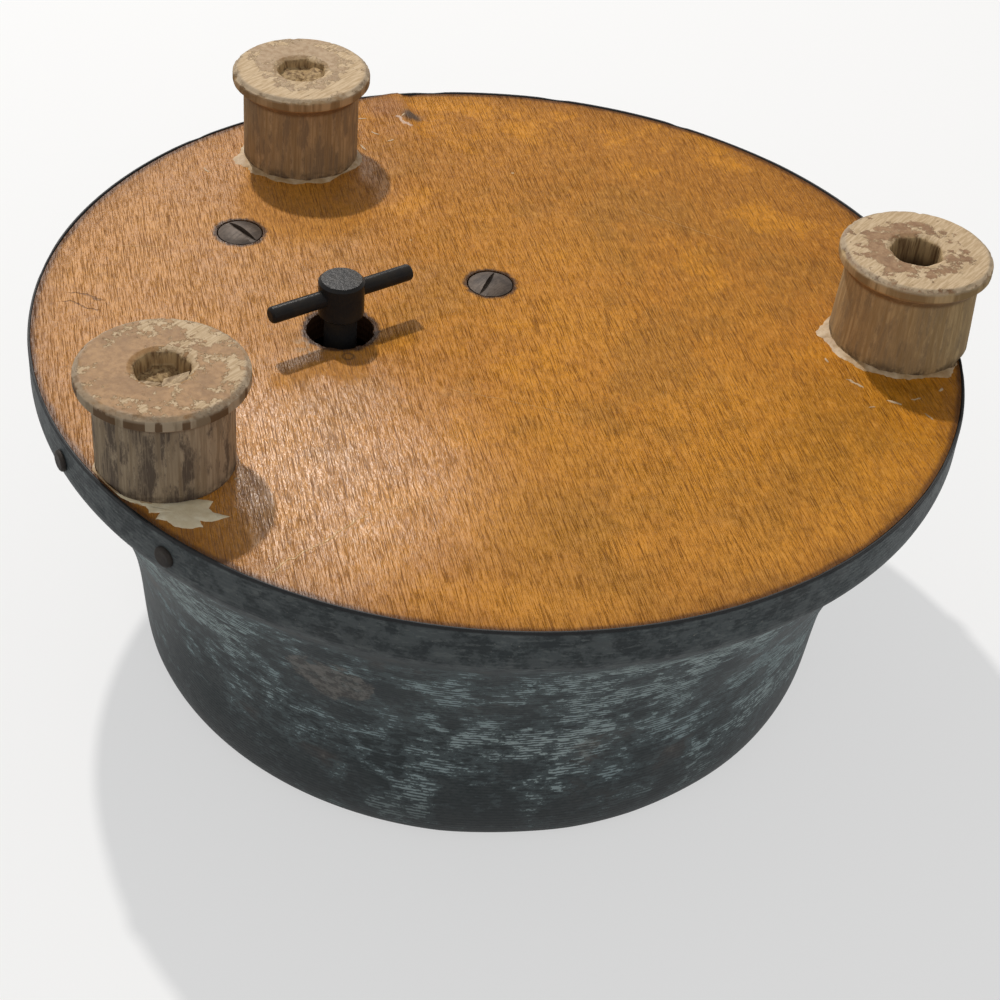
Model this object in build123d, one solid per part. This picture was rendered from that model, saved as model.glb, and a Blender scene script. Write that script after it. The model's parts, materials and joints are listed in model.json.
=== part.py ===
from build123d import *
from math import acos, cos, hypot, pi, radians, sin, tan
import os

# Round music box that plays small steel discs, lying on its top with the base board upwards.
#
# A spun metal case with a flared rim holds a plywood base board. Three turned wooden spools are glued to the
# board as feet, and a key with a crossbar stands through a hole in it. Inside, a spring barrel drives the disc
# spindle and a train that ends in an air brake. The disc turns over a row of star wheels that pluck a comb.
#
# Millimetres. +Z points out of the base board. z = 0 is the lip round the disc opening, on which the box lies.

# ---- driving dimensions: case ----
RIM_RADIUS = 80.0          # outside of the flared rim
CASE_HEIGHT = 65.0         # lip to rim edge
SHEET = 1.0                # spun sheet
BAND_HEIGHT = 8.0          # straight band at the rim
SHOULDER_DROP = 16.0       # rim edge to the bottom of the sloping shoulder
SHOULDER_STEP = 6.6        # how far the shoulder draws in
WAIST_DROP = 38.0          # rim edge to where the bowl turns upright
WAIST_SWELL = 1.8          # waist radius over the radius beside the lip
BAND_BEND = 2.4            # outside bend radii from the rim down
SHOULDER_BEND = 9.0
BOWL_BEND = 34.0
WAIST_BEND = 30.0
LIP_WIDTH = 5.0            # opening to the outside of the bowl beside it
LIP_CORNER = 3.5           # outside radius of the corner beside the lip
LIP_CURL = 1.1             # outside radius of the turned-in edge
LIP_FLANGE = 3.0           # height of the turned-in edge

# ---- base board and what is fixed to it ----
BOARD_THICKNESS = 5.0
BOARD_RECESS = 0.3         # board face below the rim edge
BOARD_CLEARANCE = 0.2
KEY_HOLE_RADIUS = 5.8
NAIL_ANGLES = (-146.3, -125.8, 30.0, 62.0, 95.0, 128.0)
NAIL_DROP = 4.3            # rim edge to nail centre
NAIL_HEAD_RADIUS = 1.8
NAIL_HEAD_HEIGHT = 0.7
NAIL_SHANK_RADIUS = 0.8
NAIL_LENGTH = 10.0
FOOT_HEIGHT = 17.9
FEET = (
    # name, rim to foot centre, direction, radius of flange, neck and base, bore depth
    ("foot_front_left", 11.65, -136.55, 13.4, 10.9, 10.9, 5.0),
    ("foot_back_left", 15.62, 129.33, 12.8, 10.8, 10.8, 2.5),
    ("foot_right", 10.55, 4.03, 13.1, 11.4, 12.1, 8.0),
)
FOOT_EDGE = 2.4            # straight edge of the flange
FOOT_CONE = 1.6            # slope from the flange to the barrel
FOOT_ROUND = 0.7
FOOT_BORE_RADIUS = 4.4
FOOT_BORE_TIP = 1.1        # height of the cone that the drill leaves
DRILL_POINT_RADIUS = 0.2

# ---- movement: fixing screws, plates and pillars ----
SCREW_PLACES = ((-48.0, 19.7, -42.0), (-2.3, 10.1, 73.0))   # x, y, slot angle
SCREW_HEAD_RADIUS = 3.9
SCREW_HEAD_HEIGHT = 1.8
SCREW_DOME = 0.85          # crown of the head above the board
SCREW_RADIUS = 2.0
SCREW_SLOT = (1.2, 0.9)    # width, depth
SCREW_HOLE_CLEARANCE = 0.25
SPACER_RADIUS = 3.8
REAR_PLATE = (92.0, 68.0, 2.0)
REAR_PLATE_X = -10.0
REAR_PLATE_CORNER = 8.0
REAR_PLATE_Z = 50.0
BEDPLATE_THICKNESS = 2.5
BEDPLATE_CLEARANCE = 0.4   # the bedplate passes through the opening
BEDPLATE_Z = 17.0
PILLARS = ((-49.5, -27.0), (-42.0, 28.0), (8.0, 28.5), (29.0, -27.0))
PILLAR_RADIUS = 3.0
PILLAR_SCREW_RADIUS = 1.25
PILLAR_SCREW_HEAD = (2.4, 1.2)   # radius, height
PILLAR_SCREW_DEPTH = 6.0
SMALL_SLOT = (0.3, 0.45)   # slot of a small screw: share of the head's radius, share of its height

# ---- spring barrel, winding gear and key ----
BARREL_ANGLE = 196.5       # direction of the barrel from the disc spindle
BARREL_MODULE = 0.8
BARREL_TEETH = 56
SPINDLE_PINION_TEETH = 14
BARREL_SHIFT = 0.2         # profile shift, + on the pinion and - on the wheel
PINION_OVERHANG = 0.4      # pinion beyond each face of its wheel
BARREL_Z = 24.0
BARREL_WHEEL_THICKNESS = 2.6
BARREL_RADIUS = 20.8
BARREL_WALL = 1.2
BARREL_HEIGHT = 21.0
BARREL_COVER = 1.4
ARBOR_RADIUS = 2.0
ARBOR_HUB_RADIUS = 4.6
ARBOR_GRIP = 6.5           # length of the arbor inside the key
SPRING_TURNS = 8
SPRING_STRIP = 0.6
SPRING_END_GAP = 0.5
RATCHET_TEETH = 24
RATCHET_RADIUS = 8.0
RATCHET_DEPTH = 1.0
RATCHET_THICKNESS = 1.8
RATCHET_LAND = 0.002       # angle of the flat at a tooth's tip, in radians
CLICK_ANGLE = 60.0         # direction of the click's tip from the arbor
CLICK_PIVOT = (10.0, 9.0)  # along and across that direction
CLICK_THICKNESS = 1.4
CLICK_STUD_RADIUS = 0.8
CLICK_SPRING_WIRE = 0.3
KEY_SHAFT_RADIUS = 2.8
KEY_HEAD_RADIUS = 3.9
KEY_HEAD_HEIGHT = 7.0
KEY_STANDS = 10.3          # key head above the board
KEY_CHAMFER = 0.5
KEY_PLATE_GAP = 2.0        # rear plate to the end of the key
CROSSBAR_RADIUS = 1.45
CROSSBAR_LENGTH = 27.5
CROSSBAR_ROUND = 0.65      # rounding of its ends
CROSSBAR_ANGLE = 38.0
CROSSBAR_DROP = 2.9        # head's end face to the crossbar's axis

# ---- train and air brake ----
TRAIN = (
    # wheel teeth, pinion teeth, module, direction of the next arbor, wheel z, wheel thickness
    (70, 10, 0.40, -60.0, 20.6, 1.2),
    (60, 10, 0.35, 10.0, 30.0, 1.0),
    (50, 10, 0.30, 80.0, 36.0, 0.9),
)
TRAIN_SHIFT = 0.41
TRAIN_NAMES = ("second", "third", "fly")
TRAIN_ARBOR_RADIUS = 0.8
TRAIN_OVERHANG = 0.3       # train pinion beyond each face of its wheel
FLY_VANE_RADIUS = 8.0
FLY_VANE = (0.5, 8.0, 40.0)   # thickness, height, lowest z
FLY_COLLAR_RADIUS = 1.7
FLY_ANGLE = 25.0

# ---- disc, spindle, star wheels and comb ----
DISC_RADIUS = 55.0
DISC_CLEARANCE = 3.2       # disc to the round opening
DISC_THICKNESS = 0.5
DISC_Z = 6.4               # outer face of the disc
SPINDLE_RADIUS = 2.5
SPINDLE_TIP_Z = 4.2
HUB_RADIUS = 9.0
HUB_THICKNESS = 2.0
DRIVE_PIN_CIRCLE = 6.2
DRIVE_PINS = 3
DRIVE_PIN_RADIUS = 0.9
DRIVE_PIN_LENGTH = 2.2
NOTES = 28
FIRST_TRACK = 20.0
TRACK_MARGIN = 1.25        # last track to the edge of the disc
NOTE_SIZE = (1.0, 0.7, 1.1)    # across the track, along it, height
NOTE_WINDOW = (2.4, 0.9)
NOTE_SECTORS = 12
NOTES_PER_TRACK = 5            # sectors of a track that can hold a note
NOTE_SHIFT = 0.9               # step in degrees by which notes leave the middle of a sector
STAR_CLEARANCE = 0.12          # star tips to the tongues of the disc
STAR_POINTS = 8
STAR_TIP_RADIUS = 4.0
STAR_ROOT_RADIUS = 2.1
STAR_THICKNESS = 0.7
STAR_SHAFT_RADIUS = 0.95
STAR_BRACKET = (1.8, 5.0)      # thickness, width
STAR_BRACKET_RISE = 1.9        # bracket beyond the shaft's axis
COMB_THICKNESS = 0.9
COMB_LEVEL = 2.7               # star axis to the comb
COMB_GAP = 0.25                # between teeth
COMB_TIP = 2.75                # star line to the tooth tips
COMB_TEETH_LENGTHS = (24.0, 8.0)
COMB_BLOCK_WIDTHS = (10.0, 3.4)
COMB_SCREW_RADIUS = 1.2
COMB_SCREW_HEAD = (2.1, 1.1)
COMB_SCREW_SHARES = (0.06, 0.45, 0.82)   # places along the comb

# ---- hold-down arm ----
ARM_PIVOT_INSET = 1.1          # edge of the bedplate to the hinge
ARM_Z = 4.6
ARM_THICKNESS = 1.6
ARM_WIDTH = 7.6
ARM_END_X = -6.0
ARM_PIN_RADIUS = 0.8
ARM_EAR = (2.0, 1.4)           # along the arm, across it
ARM_EAR_TOP = 3.3
ARM_HOLE_RADIUS = 3.3
ARM_EYE_RADIUS = 5.4           # round end over the spindle's tip
ARM_KNUCKLE_RADIUS = 1.52
PAD_SPAN = (19.0, 52.0)
PAD_WIDTH = 2.0

RUNNING = 0.05                 # radial clearance of a turning fit
PRESSURE_ANGLE = radians(20)
BACKLASH = 0.12                # share of the module
ADDENDUM = 0.95                # tooth above and below the pitch circle, in modules
DEDENDUM = 1.25
NEAR = 0.25                    # gap left between pieces that only just miss each other

# ---- places worked out from the values above ----
BOARD_FACE = CASE_HEIGHT - BOARD_RECESS
BOARD_BACK = BOARD_FACE - BOARD_THICKNESS
REAR_BACK = REAR_PLATE_Z
REAR_FACE = REAR_BACK + REAR_PLATE[2]
KEY_SHAFT_END = REAR_FACE + KEY_PLATE_GAP
ARBOR_END = KEY_SHAFT_END + ARBOR_GRIP
OPENING_RADIUS = DISC_RADIUS + DISC_CLEARANCE
BEDPLATE_RADIUS = OPENING_RADIUS - BEDPLATE_CLEARANCE
DRUM_RADIUS = OPENING_RADIUS + LIP_WIDTH
WAIST_RADIUS = DRUM_RADIUS + WAIST_SWELL
NECK_RADIUS = RIM_RADIUS - SHOULDER_STEP
ARM_PIVOT_X = BEDPLATE_RADIUS - ARM_PIVOT_INSET
BEDPLATE_BACK = BEDPLATE_Z + BEDPLATE_THICKNESS
BARREL_DISTANCE = BARREL_MODULE * (BARREL_TEETH + SPINDLE_PINION_TEETH) / 2
BARREL_X = BARREL_DISTANCE * cos(radians(BARREL_ANGLE))
BARREL_Y = BARREL_DISTANCE * sin(radians(BARREL_ANGLE))
BARREL_TOP = BARREL_Z + BARREL_HEIGHT
RATCHET_Z = BARREL_TOP + NEAR
LAST_TRACK = DISC_RADIUS - TRACK_MARGIN
TRACK_PITCH = (LAST_TRACK - FIRST_TRACK) / (NOTES - 1)
DISC_BACK = DISC_Z + DISC_THICKNESS
STAR_Z = DISC_BACK + NOTE_SIZE[2] + STAR_CLEARANCE + STAR_TIP_RADIUS
COMB_Z = STAR_Z + COMB_LEVEL


# ---- helpers ----
def rod(radius, low, high, x=0.0, y=0.0):
    """Upright cylinder from z = low to z = high."""
    return Pos(x, y, (low + high) / 2) * Cylinder(radius, high - low)


def tube(outer, inner, low, high, x=0.0, y=0.0):
    """Upright cylinder with a through bore."""
    return rod(outer, low, high, x, y) - rod(inner, low - 1, high + 1, x, y)


def block(size_x, size_y, low, high, x=0.0, y=0.0):
    """Upright box from z = low to z = high, centred on x, y."""
    return Pos(x, y, (low + high) / 2) * Box(size_x, size_y, high - low)


def slab(points, low, high):
    """Upright prism on a closed outline of points."""
    outline = Polyline(*points, close=True)
    return Pos(0, 0, low) * extrude(make_face(outline), high - low)


def polar(radius, angle):
    """Point at a radius and an angle in radians."""
    return (radius * cos(angle), radius * sin(angle))


def group(solids):
    """Several separate solids as one node."""
    return Compound(children=list(solids))


def gear_outline(teeth, module, shift):
    """Outline of a spur gear whose first tooth is centred on the X axis."""
    pitch = module * teeth / 2
    base = pitch * cos(PRESSURE_ANGLE)
    tip = pitch + module * (ADDENDUM + shift)
    root = pitch - module * (DEDENDUM - shift)
    slack = BACKLASH * module / 2 / pitch
    half = (pi / 2 + 2 * shift * tan(PRESSURE_ANGLE)) / teeth - slack
    start = max(base, root)

    def flank(radius):
        angle = acos(min(1.0, base / radius))
        involute = tan(angle) - angle
        return half + tan(PRESSURE_ANGLE) - PRESSURE_ANGLE - involute

    radii = [start, (2 * start + tip) / 3, (start + 2 * tip) / 3, tip]
    points = []
    for tooth in range(teeth):
        middle = 2 * pi * tooth / teeth
        rising = [polar(r, middle - flank(r)) for r in radii]
        falling = [polar(r, middle + flank(r)) for r in reversed(radii)]
        points.append(polar(root, middle - flank(start)))
        points += rising[0 if start > root else 1:]
        points += falling[:4 if start > root else 3]
        points.append(polar(root, middle + flank(start)))
    return points


def gear(teeth, module, shift, low, thickness, bore, turn):
    """Spur gear on the Z axis with a bore, its first tooth at an angle in degrees."""
    blank = slab(gear_outline(teeth, module, shift), low, low + thickness)
    return Rot(0, 0, turn) * (blank - rod(bore, low - 1, low + thickness + 1))


def meshing_turn(turn, teeth, direction, other_teeth):
    """Turn of a gear that meshes with one at the given turn, in a direction in degrees from it."""
    return direction + 180 - (180 - (direction - turn) * teeth) / other_teeth


def shifted(points, distance):
    """The inner side of a sheet whose outer side runs through the points."""
    moved = []
    for i, point in enumerate(points):
        ends = [points[max(i - 1, 0)], point, points[min(i + 1, len(points) - 1)]]
        normals = []
        for (ax, ay), (bx, by) in ((ends[0], ends[1]), (ends[1], ends[2])):
            length = hypot(bx - ax, by - ay)
            if length > 0:
                normals.append(((by - ay) / length, -(bx - ax) / length))
        nx = sum(n[0] for n in normals) / len(normals)
        ny = sum(n[1] for n in normals) / len(normals)
        scale = distance / (nx * nx + ny * ny)
        moved.append((point[0] + nx * scale, point[1] + ny * scale))
    return moved


# ---- case, board, feet ----
def make_case():
    """Spun case: band, sloping shoulder, bowl and turned-in lip, in one sheet."""
    outer = [
        (RIM_RADIUS, CASE_HEIGHT),
        (RIM_RADIUS, CASE_HEIGHT - BAND_HEIGHT),
        (NECK_RADIUS, CASE_HEIGHT - SHOULDER_DROP),
        (WAIST_RADIUS, CASE_HEIGHT - WAIST_DROP),
        (DRUM_RADIUS, LIP_CORNER * 1.5),
        (DRUM_RADIUS, 0),
        (OPENING_RADIUS, 0),
        (OPENING_RADIUS, LIP_FLANGE),
    ]
    inner = shifted(outer, SHEET)
    # corners that bulge outwards lose the sheet on the inside, hollow ones gain it
    bends = [BAND_BEND, SHOULDER_BEND, BOWL_BEND, WAIST_BEND, LIP_CORNER, LIP_CURL]
    gains = [-SHEET, SHEET, SHEET, -SHEET, -SHEET, -SHEET]
    outside = FilletPolyline(*outer, radius=bends)
    inside = FilletPolyline(*inner, radius=[bend + gain for bend, gain in zip(bends, gains)])
    top = Line(outer[0], inner[0])
    end = Line(outer[-1], inner[-1])
    section = make_face(Plane.XZ * (outside + inside + top + end))
    shell = revolve(section, Axis.Z)
    return shell - group(nail_holes(NAIL_SHANK_RADIUS))


def nail_holes(radius):
    """Radial rods through the band at each nail."""
    height = CASE_HEIGHT - NAIL_DROP
    middle = RIM_RADIUS - NAIL_LENGTH / 2
    return [
        Rot(0, 0, angle) * Pos(middle, 0, height) * Rot(0, 90, 0) * Cylinder(radius, NAIL_LENGTH)
        for angle in NAIL_ANGLES
    ]


def make_nails():
    """Round-headed nails through the band into the edge of the board."""
    height = CASE_HEIGHT - NAIL_DROP
    head = rod(NAIL_HEAD_RADIUS, 0, NAIL_HEAD_HEIGHT)
    head = fillet(head.edges().group_by(Axis.Z)[-1], NAIL_HEAD_HEIGHT * 0.75)
    nail = head + rod(NAIL_SHANK_RADIUS, -NAIL_LENGTH, NAIL_HEAD_HEIGHT / 2)
    lying = Pos(RIM_RADIUS, 0, height) * Rot(0, 90, 0) * nail
    return group(Rot(0, 0, angle) * lying for angle in NAIL_ANGLES)


def make_board():
    """Plywood disc with the key's hole, the counterbored screw holes and the nail holes in its edge."""
    radius = RIM_RADIUS - SHEET - BOARD_CLEARANCE
    board = rod(radius, BOARD_BACK, BOARD_FACE)
    board -= rod(KEY_HOLE_RADIUS, BOARD_BACK - 1, BOARD_FACE + 1, BARREL_X, BARREL_Y)
    for x, y, _ in SCREW_PLACES:
        board -= rod(SCREW_RADIUS + SCREW_HOLE_CLEARANCE, BOARD_BACK - 1, BOARD_FACE + 1, x, y)
        seat = BOARD_FACE + SCREW_DOME - SCREW_HEAD_HEIGHT
        board -= rod(SCREW_HEAD_RADIUS + SCREW_HOLE_CLEARANCE, seat, BOARD_FACE + 1, x, y)
    return board - group(nail_holes(NAIL_SHANK_RADIUS))


def make_foot(inset, direction, flange, neck, bottom, bore_depth):
    """Half of a turned wooden spool with a blind bore, relieved where it passes over the rim."""
    x, y = polar(RIM_RADIUS - inset, radians(direction))
    top = BOARD_FACE + FOOT_HEIGHT
    outline = Polyline(
        (0, BOARD_FACE),
        (bottom, BOARD_FACE),
        (neck, top - FOOT_EDGE - FOOT_CONE),
        (flange, top - FOOT_EDGE),
        (flange, top - FOOT_ROUND),
        (flange - FOOT_ROUND, top),
        (0, top),
        close=True,
    )
    body = revolve(make_face(Plane.XZ * outline), Axis.Z)
    floor = top - bore_depth
    bore = rod(FOOT_BORE_RADIUS, floor, top + 1)
    cone = Pos(0, 0, floor - FOOT_BORE_TIP / 2) * Cone(DRILL_POINT_RADIUS, FOOT_BORE_RADIUS, FOOT_BORE_TIP)
    rim = tube(RIM_RADIUS + flange, RIM_RADIUS - SHEET - NEAR, BOARD_FACE - 1, CASE_HEIGHT + NEAR)
    return Pos(x, y, 0) * (body - bore - cone) - rim


# ---- fixing screws and frame ----
def make_fixing_screws():
    """Slotted screws through the board and the spacers into the rear plate."""
    top = BOARD_FACE + SCREW_DOME
    crown = (SCREW_HEAD_RADIUS ** 2 + SCREW_DOME ** 2) / (2 * SCREW_DOME)
    screws = []
    for x, y, slot_angle in SCREW_PLACES:
        seat = top - SCREW_HEAD_HEIGHT
        head = rod(SCREW_HEAD_RADIUS, seat, top) & Pos(0, 0, top - crown) * Sphere(crown)
        screw = head + rod(SCREW_RADIUS, REAR_BACK, seat)
        slot = block(3 * SCREW_HEAD_RADIUS, SCREW_SLOT[0], top - SCREW_SLOT[1], top + 1)
        screws.append(Pos(x, y, 0) * (screw - Rot(0, 0, slot_angle) * slot))
    return group(screws)


def make_spacers():
    """Sleeves that hold the movement off the board."""
    bore = SCREW_RADIUS + RUNNING
    return group(tube(SPACER_RADIUS, bore, REAR_FACE, BOARD_BACK, x, y) for x, y, _ in SCREW_PLACES)


def train_centres():
    """Arbor centres from the disc spindle to the fly."""
    centres = [(0.0, 0.0)]
    for wheel, pinion, module, direction, _, _ in TRAIN:
        distance = module * (wheel + pinion) / 2
        x, y = centres[-1]
        centres.append((x + distance * cos(radians(direction)), y + distance * sin(radians(direction))))
    return centres


def bearing_holes(low, high):
    """Running holes for every upright arbor of the movement."""
    holes = [rod(ARBOR_RADIUS + RUNNING, low, high, BARREL_X, BARREL_Y)]
    holes.append(rod(SPINDLE_RADIUS + RUNNING, low, high))
    holes += [rod(TRAIN_ARBOR_RADIUS + RUNNING, low, high, x, y) for x, y in train_centres()[1:]]
    return holes


def make_rear_plate():
    """Plate next to the board that carries one end of every arbor."""
    length, width, thickness = REAR_PLATE
    outline = RectangleRounded(length, width, REAR_PLATE_CORNER)
    plate = Pos(REAR_PLATE_X, 0, REAR_BACK) * extrude(outline, thickness)
    plate -= group(bearing_holes(REAR_BACK - 1, REAR_FACE + 1))
    for x, y, _ in SCREW_PLACES:
        plate -= rod(SCREW_RADIUS, REAR_BACK - 1, REAR_FACE + 1, x, y)
    for x, y in PILLARS:
        plate -= rod(PILLAR_SCREW_RADIUS, REAR_BACK - 1, REAR_FACE + 1, x, y)
    stud_x, stud_y = click_place()
    return plate - rod(CLICK_STUD_RADIUS, REAR_BACK - 1, REAR_FACE + 1, stud_x, stud_y)


def make_bedplate():
    """Round plate under the disc that carries the comb, the star wheels and the hold-down arm."""
    plate = rod(BEDPLATE_RADIUS, BEDPLATE_Z, BEDPLATE_BACK)
    plate -= group(bearing_holes(BEDPLATE_Z - 1, BEDPLATE_BACK + 1))
    for x, y in PILLARS:
        plate -= rod(PILLAR_SCREW_RADIUS, BEDPLATE_Z - 1, BEDPLATE_BACK + 1, x, y)
    for x, y in comb_screw_places():
        plate -= rod(COMB_SCREW_RADIUS, BEDPLATE_Z - 1, BEDPLATE_BACK + 1, x, y)
    return plate


def make_pillars():
    """Posts between the two plates, drilled at both ends."""
    posts = []
    for x, y in PILLARS:
        post = rod(PILLAR_RADIUS, BEDPLATE_BACK, REAR_BACK, x, y)
        post -= rod(PILLAR_SCREW_RADIUS, BEDPLATE_BACK - 1, BEDPLATE_BACK + PILLAR_SCREW_DEPTH, x, y)
        post -= rod(PILLAR_SCREW_RADIUS, REAR_BACK - PILLAR_SCREW_DEPTH, REAR_BACK + 1, x, y)
        posts.append(post)
    return group(posts)


def slotted_screw(x, y, head_face, seat, tip, radius, head_radius):
    """Small screw along Z: its head lies between head_face and seat, and its shank runs on to tip."""
    head = rod(head_radius, min(head_face, seat), max(head_face, seat), x, y)
    shank = rod(radius, min(seat, tip), max(seat, tip), x, y)
    depth = (head_face - seat) * SMALL_SLOT[1]
    ends = sorted((head_face + depth, head_face - depth))
    slot = block(3 * head_radius, head_radius * SMALL_SLOT[0], ends[0], ends[1], x, y)
    return head + shank - slot


def make_pillar_screws():
    """Screws that hold both plates on the pillars."""
    head_radius, head_height = PILLAR_SCREW_HEAD
    screws = []
    for x, y in PILLARS:
        screws.append(slotted_screw(
            x, y, REAR_FACE + head_height, REAR_FACE, REAR_BACK - PILLAR_SCREW_DEPTH,
            PILLAR_SCREW_RADIUS, head_radius))
        screws.append(slotted_screw(
            x, y, BEDPLATE_Z - head_height, BEDPLATE_Z, BEDPLATE_BACK + PILLAR_SCREW_DEPTH,
            PILLAR_SCREW_RADIUS, head_radius))
    return group(screws)


# ---- spring barrel, winding gear and key ----
def barrel_at(shape):
    return Pos(BARREL_X, BARREL_Y, 0) * shape


def make_barrel():
    """Open drum with the great wheel round its closed end."""
    low = BARREL_Z + BARREL_WHEEL_THICKNESS
    wheel = gear(BARREL_TEETH, BARREL_MODULE, -BARREL_SHIFT, BARREL_Z, BARREL_WHEEL_THICKNESS,
                 ARBOR_RADIUS + RUNNING, BARREL_ANGLE + 180)
    wall = tube(BARREL_RADIUS, BARREL_RADIUS - BARREL_WALL, low, BARREL_TOP)
    return barrel_at(wheel + wall)


def make_barrel_cover():
    """Lid pressed into the mouth of the drum."""
    lid = tube(BARREL_RADIUS - BARREL_WALL, ARBOR_RADIUS + RUNNING, BARREL_TOP - BARREL_COVER, BARREL_TOP)
    return barrel_at(lid)


def make_mainspring():
    """Spiral strip of half circles about two centres, from the hub to the drum's wall."""
    low = BARREL_Z + BARREL_WHEEL_THICKNESS + SPRING_END_GAP
    high = BARREL_TOP - BARREL_COVER - SPRING_END_GAP
    first = ARBOR_HUB_RADIUS + RUNNING
    last = BARREL_RADIUS - BARREL_WALL - RUNNING - SPRING_STRIP
    step = (last - first) / (2 * SPRING_TURNS)

    def side(start):
        arcs = []
        left, right = -start, start
        for half_turn in range(2 * SPRING_TURNS):
            sign = 1 if half_turn % 2 == 0 else -1
            radius = start + half_turn * step + step / 2
            begin = right if sign > 0 else left
            finish = begin - 2 * sign * radius
            middle = (begin + finish) / 2
            arcs.append(ThreePointArc((begin, 0), (middle, sign * radius), (finish, 0)))
            left, right = (finish, right) if sign > 0 else (left, finish)
        return arcs

    inner = side(first)
    outer = side(first + SPRING_STRIP)
    caps = [Line(inner[0] @ 0, outer[0] @ 0), Line(inner[-1] @ 1, outer[-1] @ 1)]
    strip = make_face(Curve() + inner + outer + caps)
    return barrel_at(Pos(0, 0, low) * extrude(strip, high - low))


def make_arbor():
    """Barrel arbor: a journal at each end, the spring's hub between, and the end that the key screws on."""
    hub_low = BARREL_Z + BARREL_WHEEL_THICKNESS + RUNNING
    hub_high = BARREL_TOP - BARREL_COVER - RUNNING
    shaft = rod(ARBOR_RADIUS, BEDPLATE_Z, ARBOR_END)
    return barrel_at(shaft + rod(ARBOR_HUB_RADIUS, hub_low, hub_high))


def make_ratchet():
    """Saw-toothed wheel fixed on the arbor. Its steep faces look anticlockwise from the base."""
    pitch = 2 * pi / RATCHET_TEETH
    root = RATCHET_RADIUS - RATCHET_DEPTH
    points = []
    for tooth in range(RATCHET_TEETH):
        points.append(polar(root, radians(CLICK_ANGLE) + tooth * pitch))
        points.append(polar(RATCHET_RADIUS, radians(CLICK_ANGLE) + (tooth + 1) * pitch - RATCHET_LAND))
    wheel = slab(points, RATCHET_Z, RATCHET_Z + RATCHET_THICKNESS)
    return barrel_at(wheel - rod(ARBOR_RADIUS, RATCHET_Z - 1, RATCHET_Z + RATCHET_THICKNESS + 1))


def click_place():
    """Centre of the click's stud."""
    along, across = CLICK_PIVOT
    angle = radians(CLICK_ANGLE)
    x = BARREL_X + along * cos(angle) - across * sin(angle)
    y = BARREL_Y + along * sin(angle) + across * cos(angle)
    return x, y


def make_click():
    """Pawl whose tip lies behind a ratchet tooth."""
    along, across = CLICK_PIVOT
    root = RATCHET_RADIUS - RATCHET_DEPTH
    low = RATCHET_Z + (RATCHET_THICKNESS - CLICK_THICKNESS) / 2
    eye = 2 * CLICK_STUD_RADIUS + NEAR
    outline = [
        (root + 0.3, 0.15),
        (RATCHET_RADIUS + 0.35, 1.5),
        (RATCHET_RADIUS + 0.5, across),
        (along + eye * 0.8, across),
        (RATCHET_RADIUS + 1.4, 0.3),
    ]
    pawl = slab(outline, low, low + CLICK_THICKNESS) + rod(eye, low, low + CLICK_THICKNESS, along, across)
    pawl -= rod(CLICK_STUD_RADIUS + RUNNING, low - 1, low + CLICK_THICKNESS + 1, along, across)
    return barrel_at(Rot(0, 0, CLICK_ANGLE) * pawl)


def make_click_stud():
    """Shouldered stud in the rear plate on which the click turns."""
    x, y = click_place()
    low = RATCHET_Z + (RATCHET_THICKNESS - CLICK_THICKNESS) / 2
    stud = rod(CLICK_STUD_RADIUS, low - RUNNING, REAR_FACE, x, y)
    shoulder = rod(2 * CLICK_STUD_RADIUS, low + CLICK_THICKNESS + RUNNING, REAR_BACK, x, y)
    return stud + shoulder


def make_click_spring():
    """Bent wire from a foot on the rear plate to the back of the click."""
    along, across = CLICK_PIVOT
    level = RATCHET_Z + RATCHET_THICKNESS / 2
    back = along + 2 * CLICK_STUD_RADIUS + NEAR + CLICK_SPRING_WIRE
    route = FilletPolyline(
        (RATCHET_RADIUS + 2.2, 1.2, level),
        (back + 0.6, across - 0.5, level),
        (back + 1.6, across + 7.0, level),
        (back + 1.6, across + 7.0, REAR_BACK),
        radius=1.0,
    )
    wire = sweep(Plane(route @ 0, z_dir=route % 0) * Circle(CLICK_SPRING_WIRE), path=route)
    return barrel_at(Rot(0, 0, CLICK_ANGLE) * wire)


def make_key():
    """Key barrel: a shaft that screws on the arbor and a wider head with the crossbar's hole."""
    top = BOARD_FACE + KEY_STANDS
    neck = top - KEY_HEAD_HEIGHT
    key = rod(KEY_HEAD_RADIUS, neck, top) + rod(KEY_SHAFT_RADIUS, KEY_SHAFT_END, neck)
    rims = key.edges().filter_by(GeomType.CIRCLE).filter_by(lambda e: abs(e.radius - KEY_HEAD_RADIUS) < 0.01)
    key = chamfer(rims, KEY_CHAMFER)
    key -= rod(ARBOR_RADIUS, KEY_SHAFT_END - 1, ARBOR_END)
    return barrel_at(key - crossbar_rod(KEY_HEAD_RADIUS * 3))


def crossbar_rod(length):
    level = BOARD_FACE + KEY_STANDS - CROSSBAR_DROP
    return Pos(0, 0, level) * Rot(0, 0, CROSSBAR_ANGLE) * Rot(0, 90, 0) * Cylinder(CROSSBAR_RADIUS, length)


def make_crossbar():
    """Bar through the key's head, rounded at both ends."""
    bar = crossbar_rod(CROSSBAR_LENGTH)
    return barrel_at(fillet(bar.edges().filter_by(GeomType.CIRCLE), CROSSBAR_ROUND))


# ---- train and air brake ----
def train_wheel(step, turn):
    """Wheel of a train step, centred on its arbor."""
    teeth, _, module, _, low, thickness = TRAIN[step]
    x, y = train_centres()[step]
    bore = SPINDLE_RADIUS if step == 0 else TRAIN_ARBOR_RADIUS
    return Pos(x, y, 0) * gear(teeth, module, -TRAIN_SHIFT, low, thickness, bore, turn)


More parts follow.
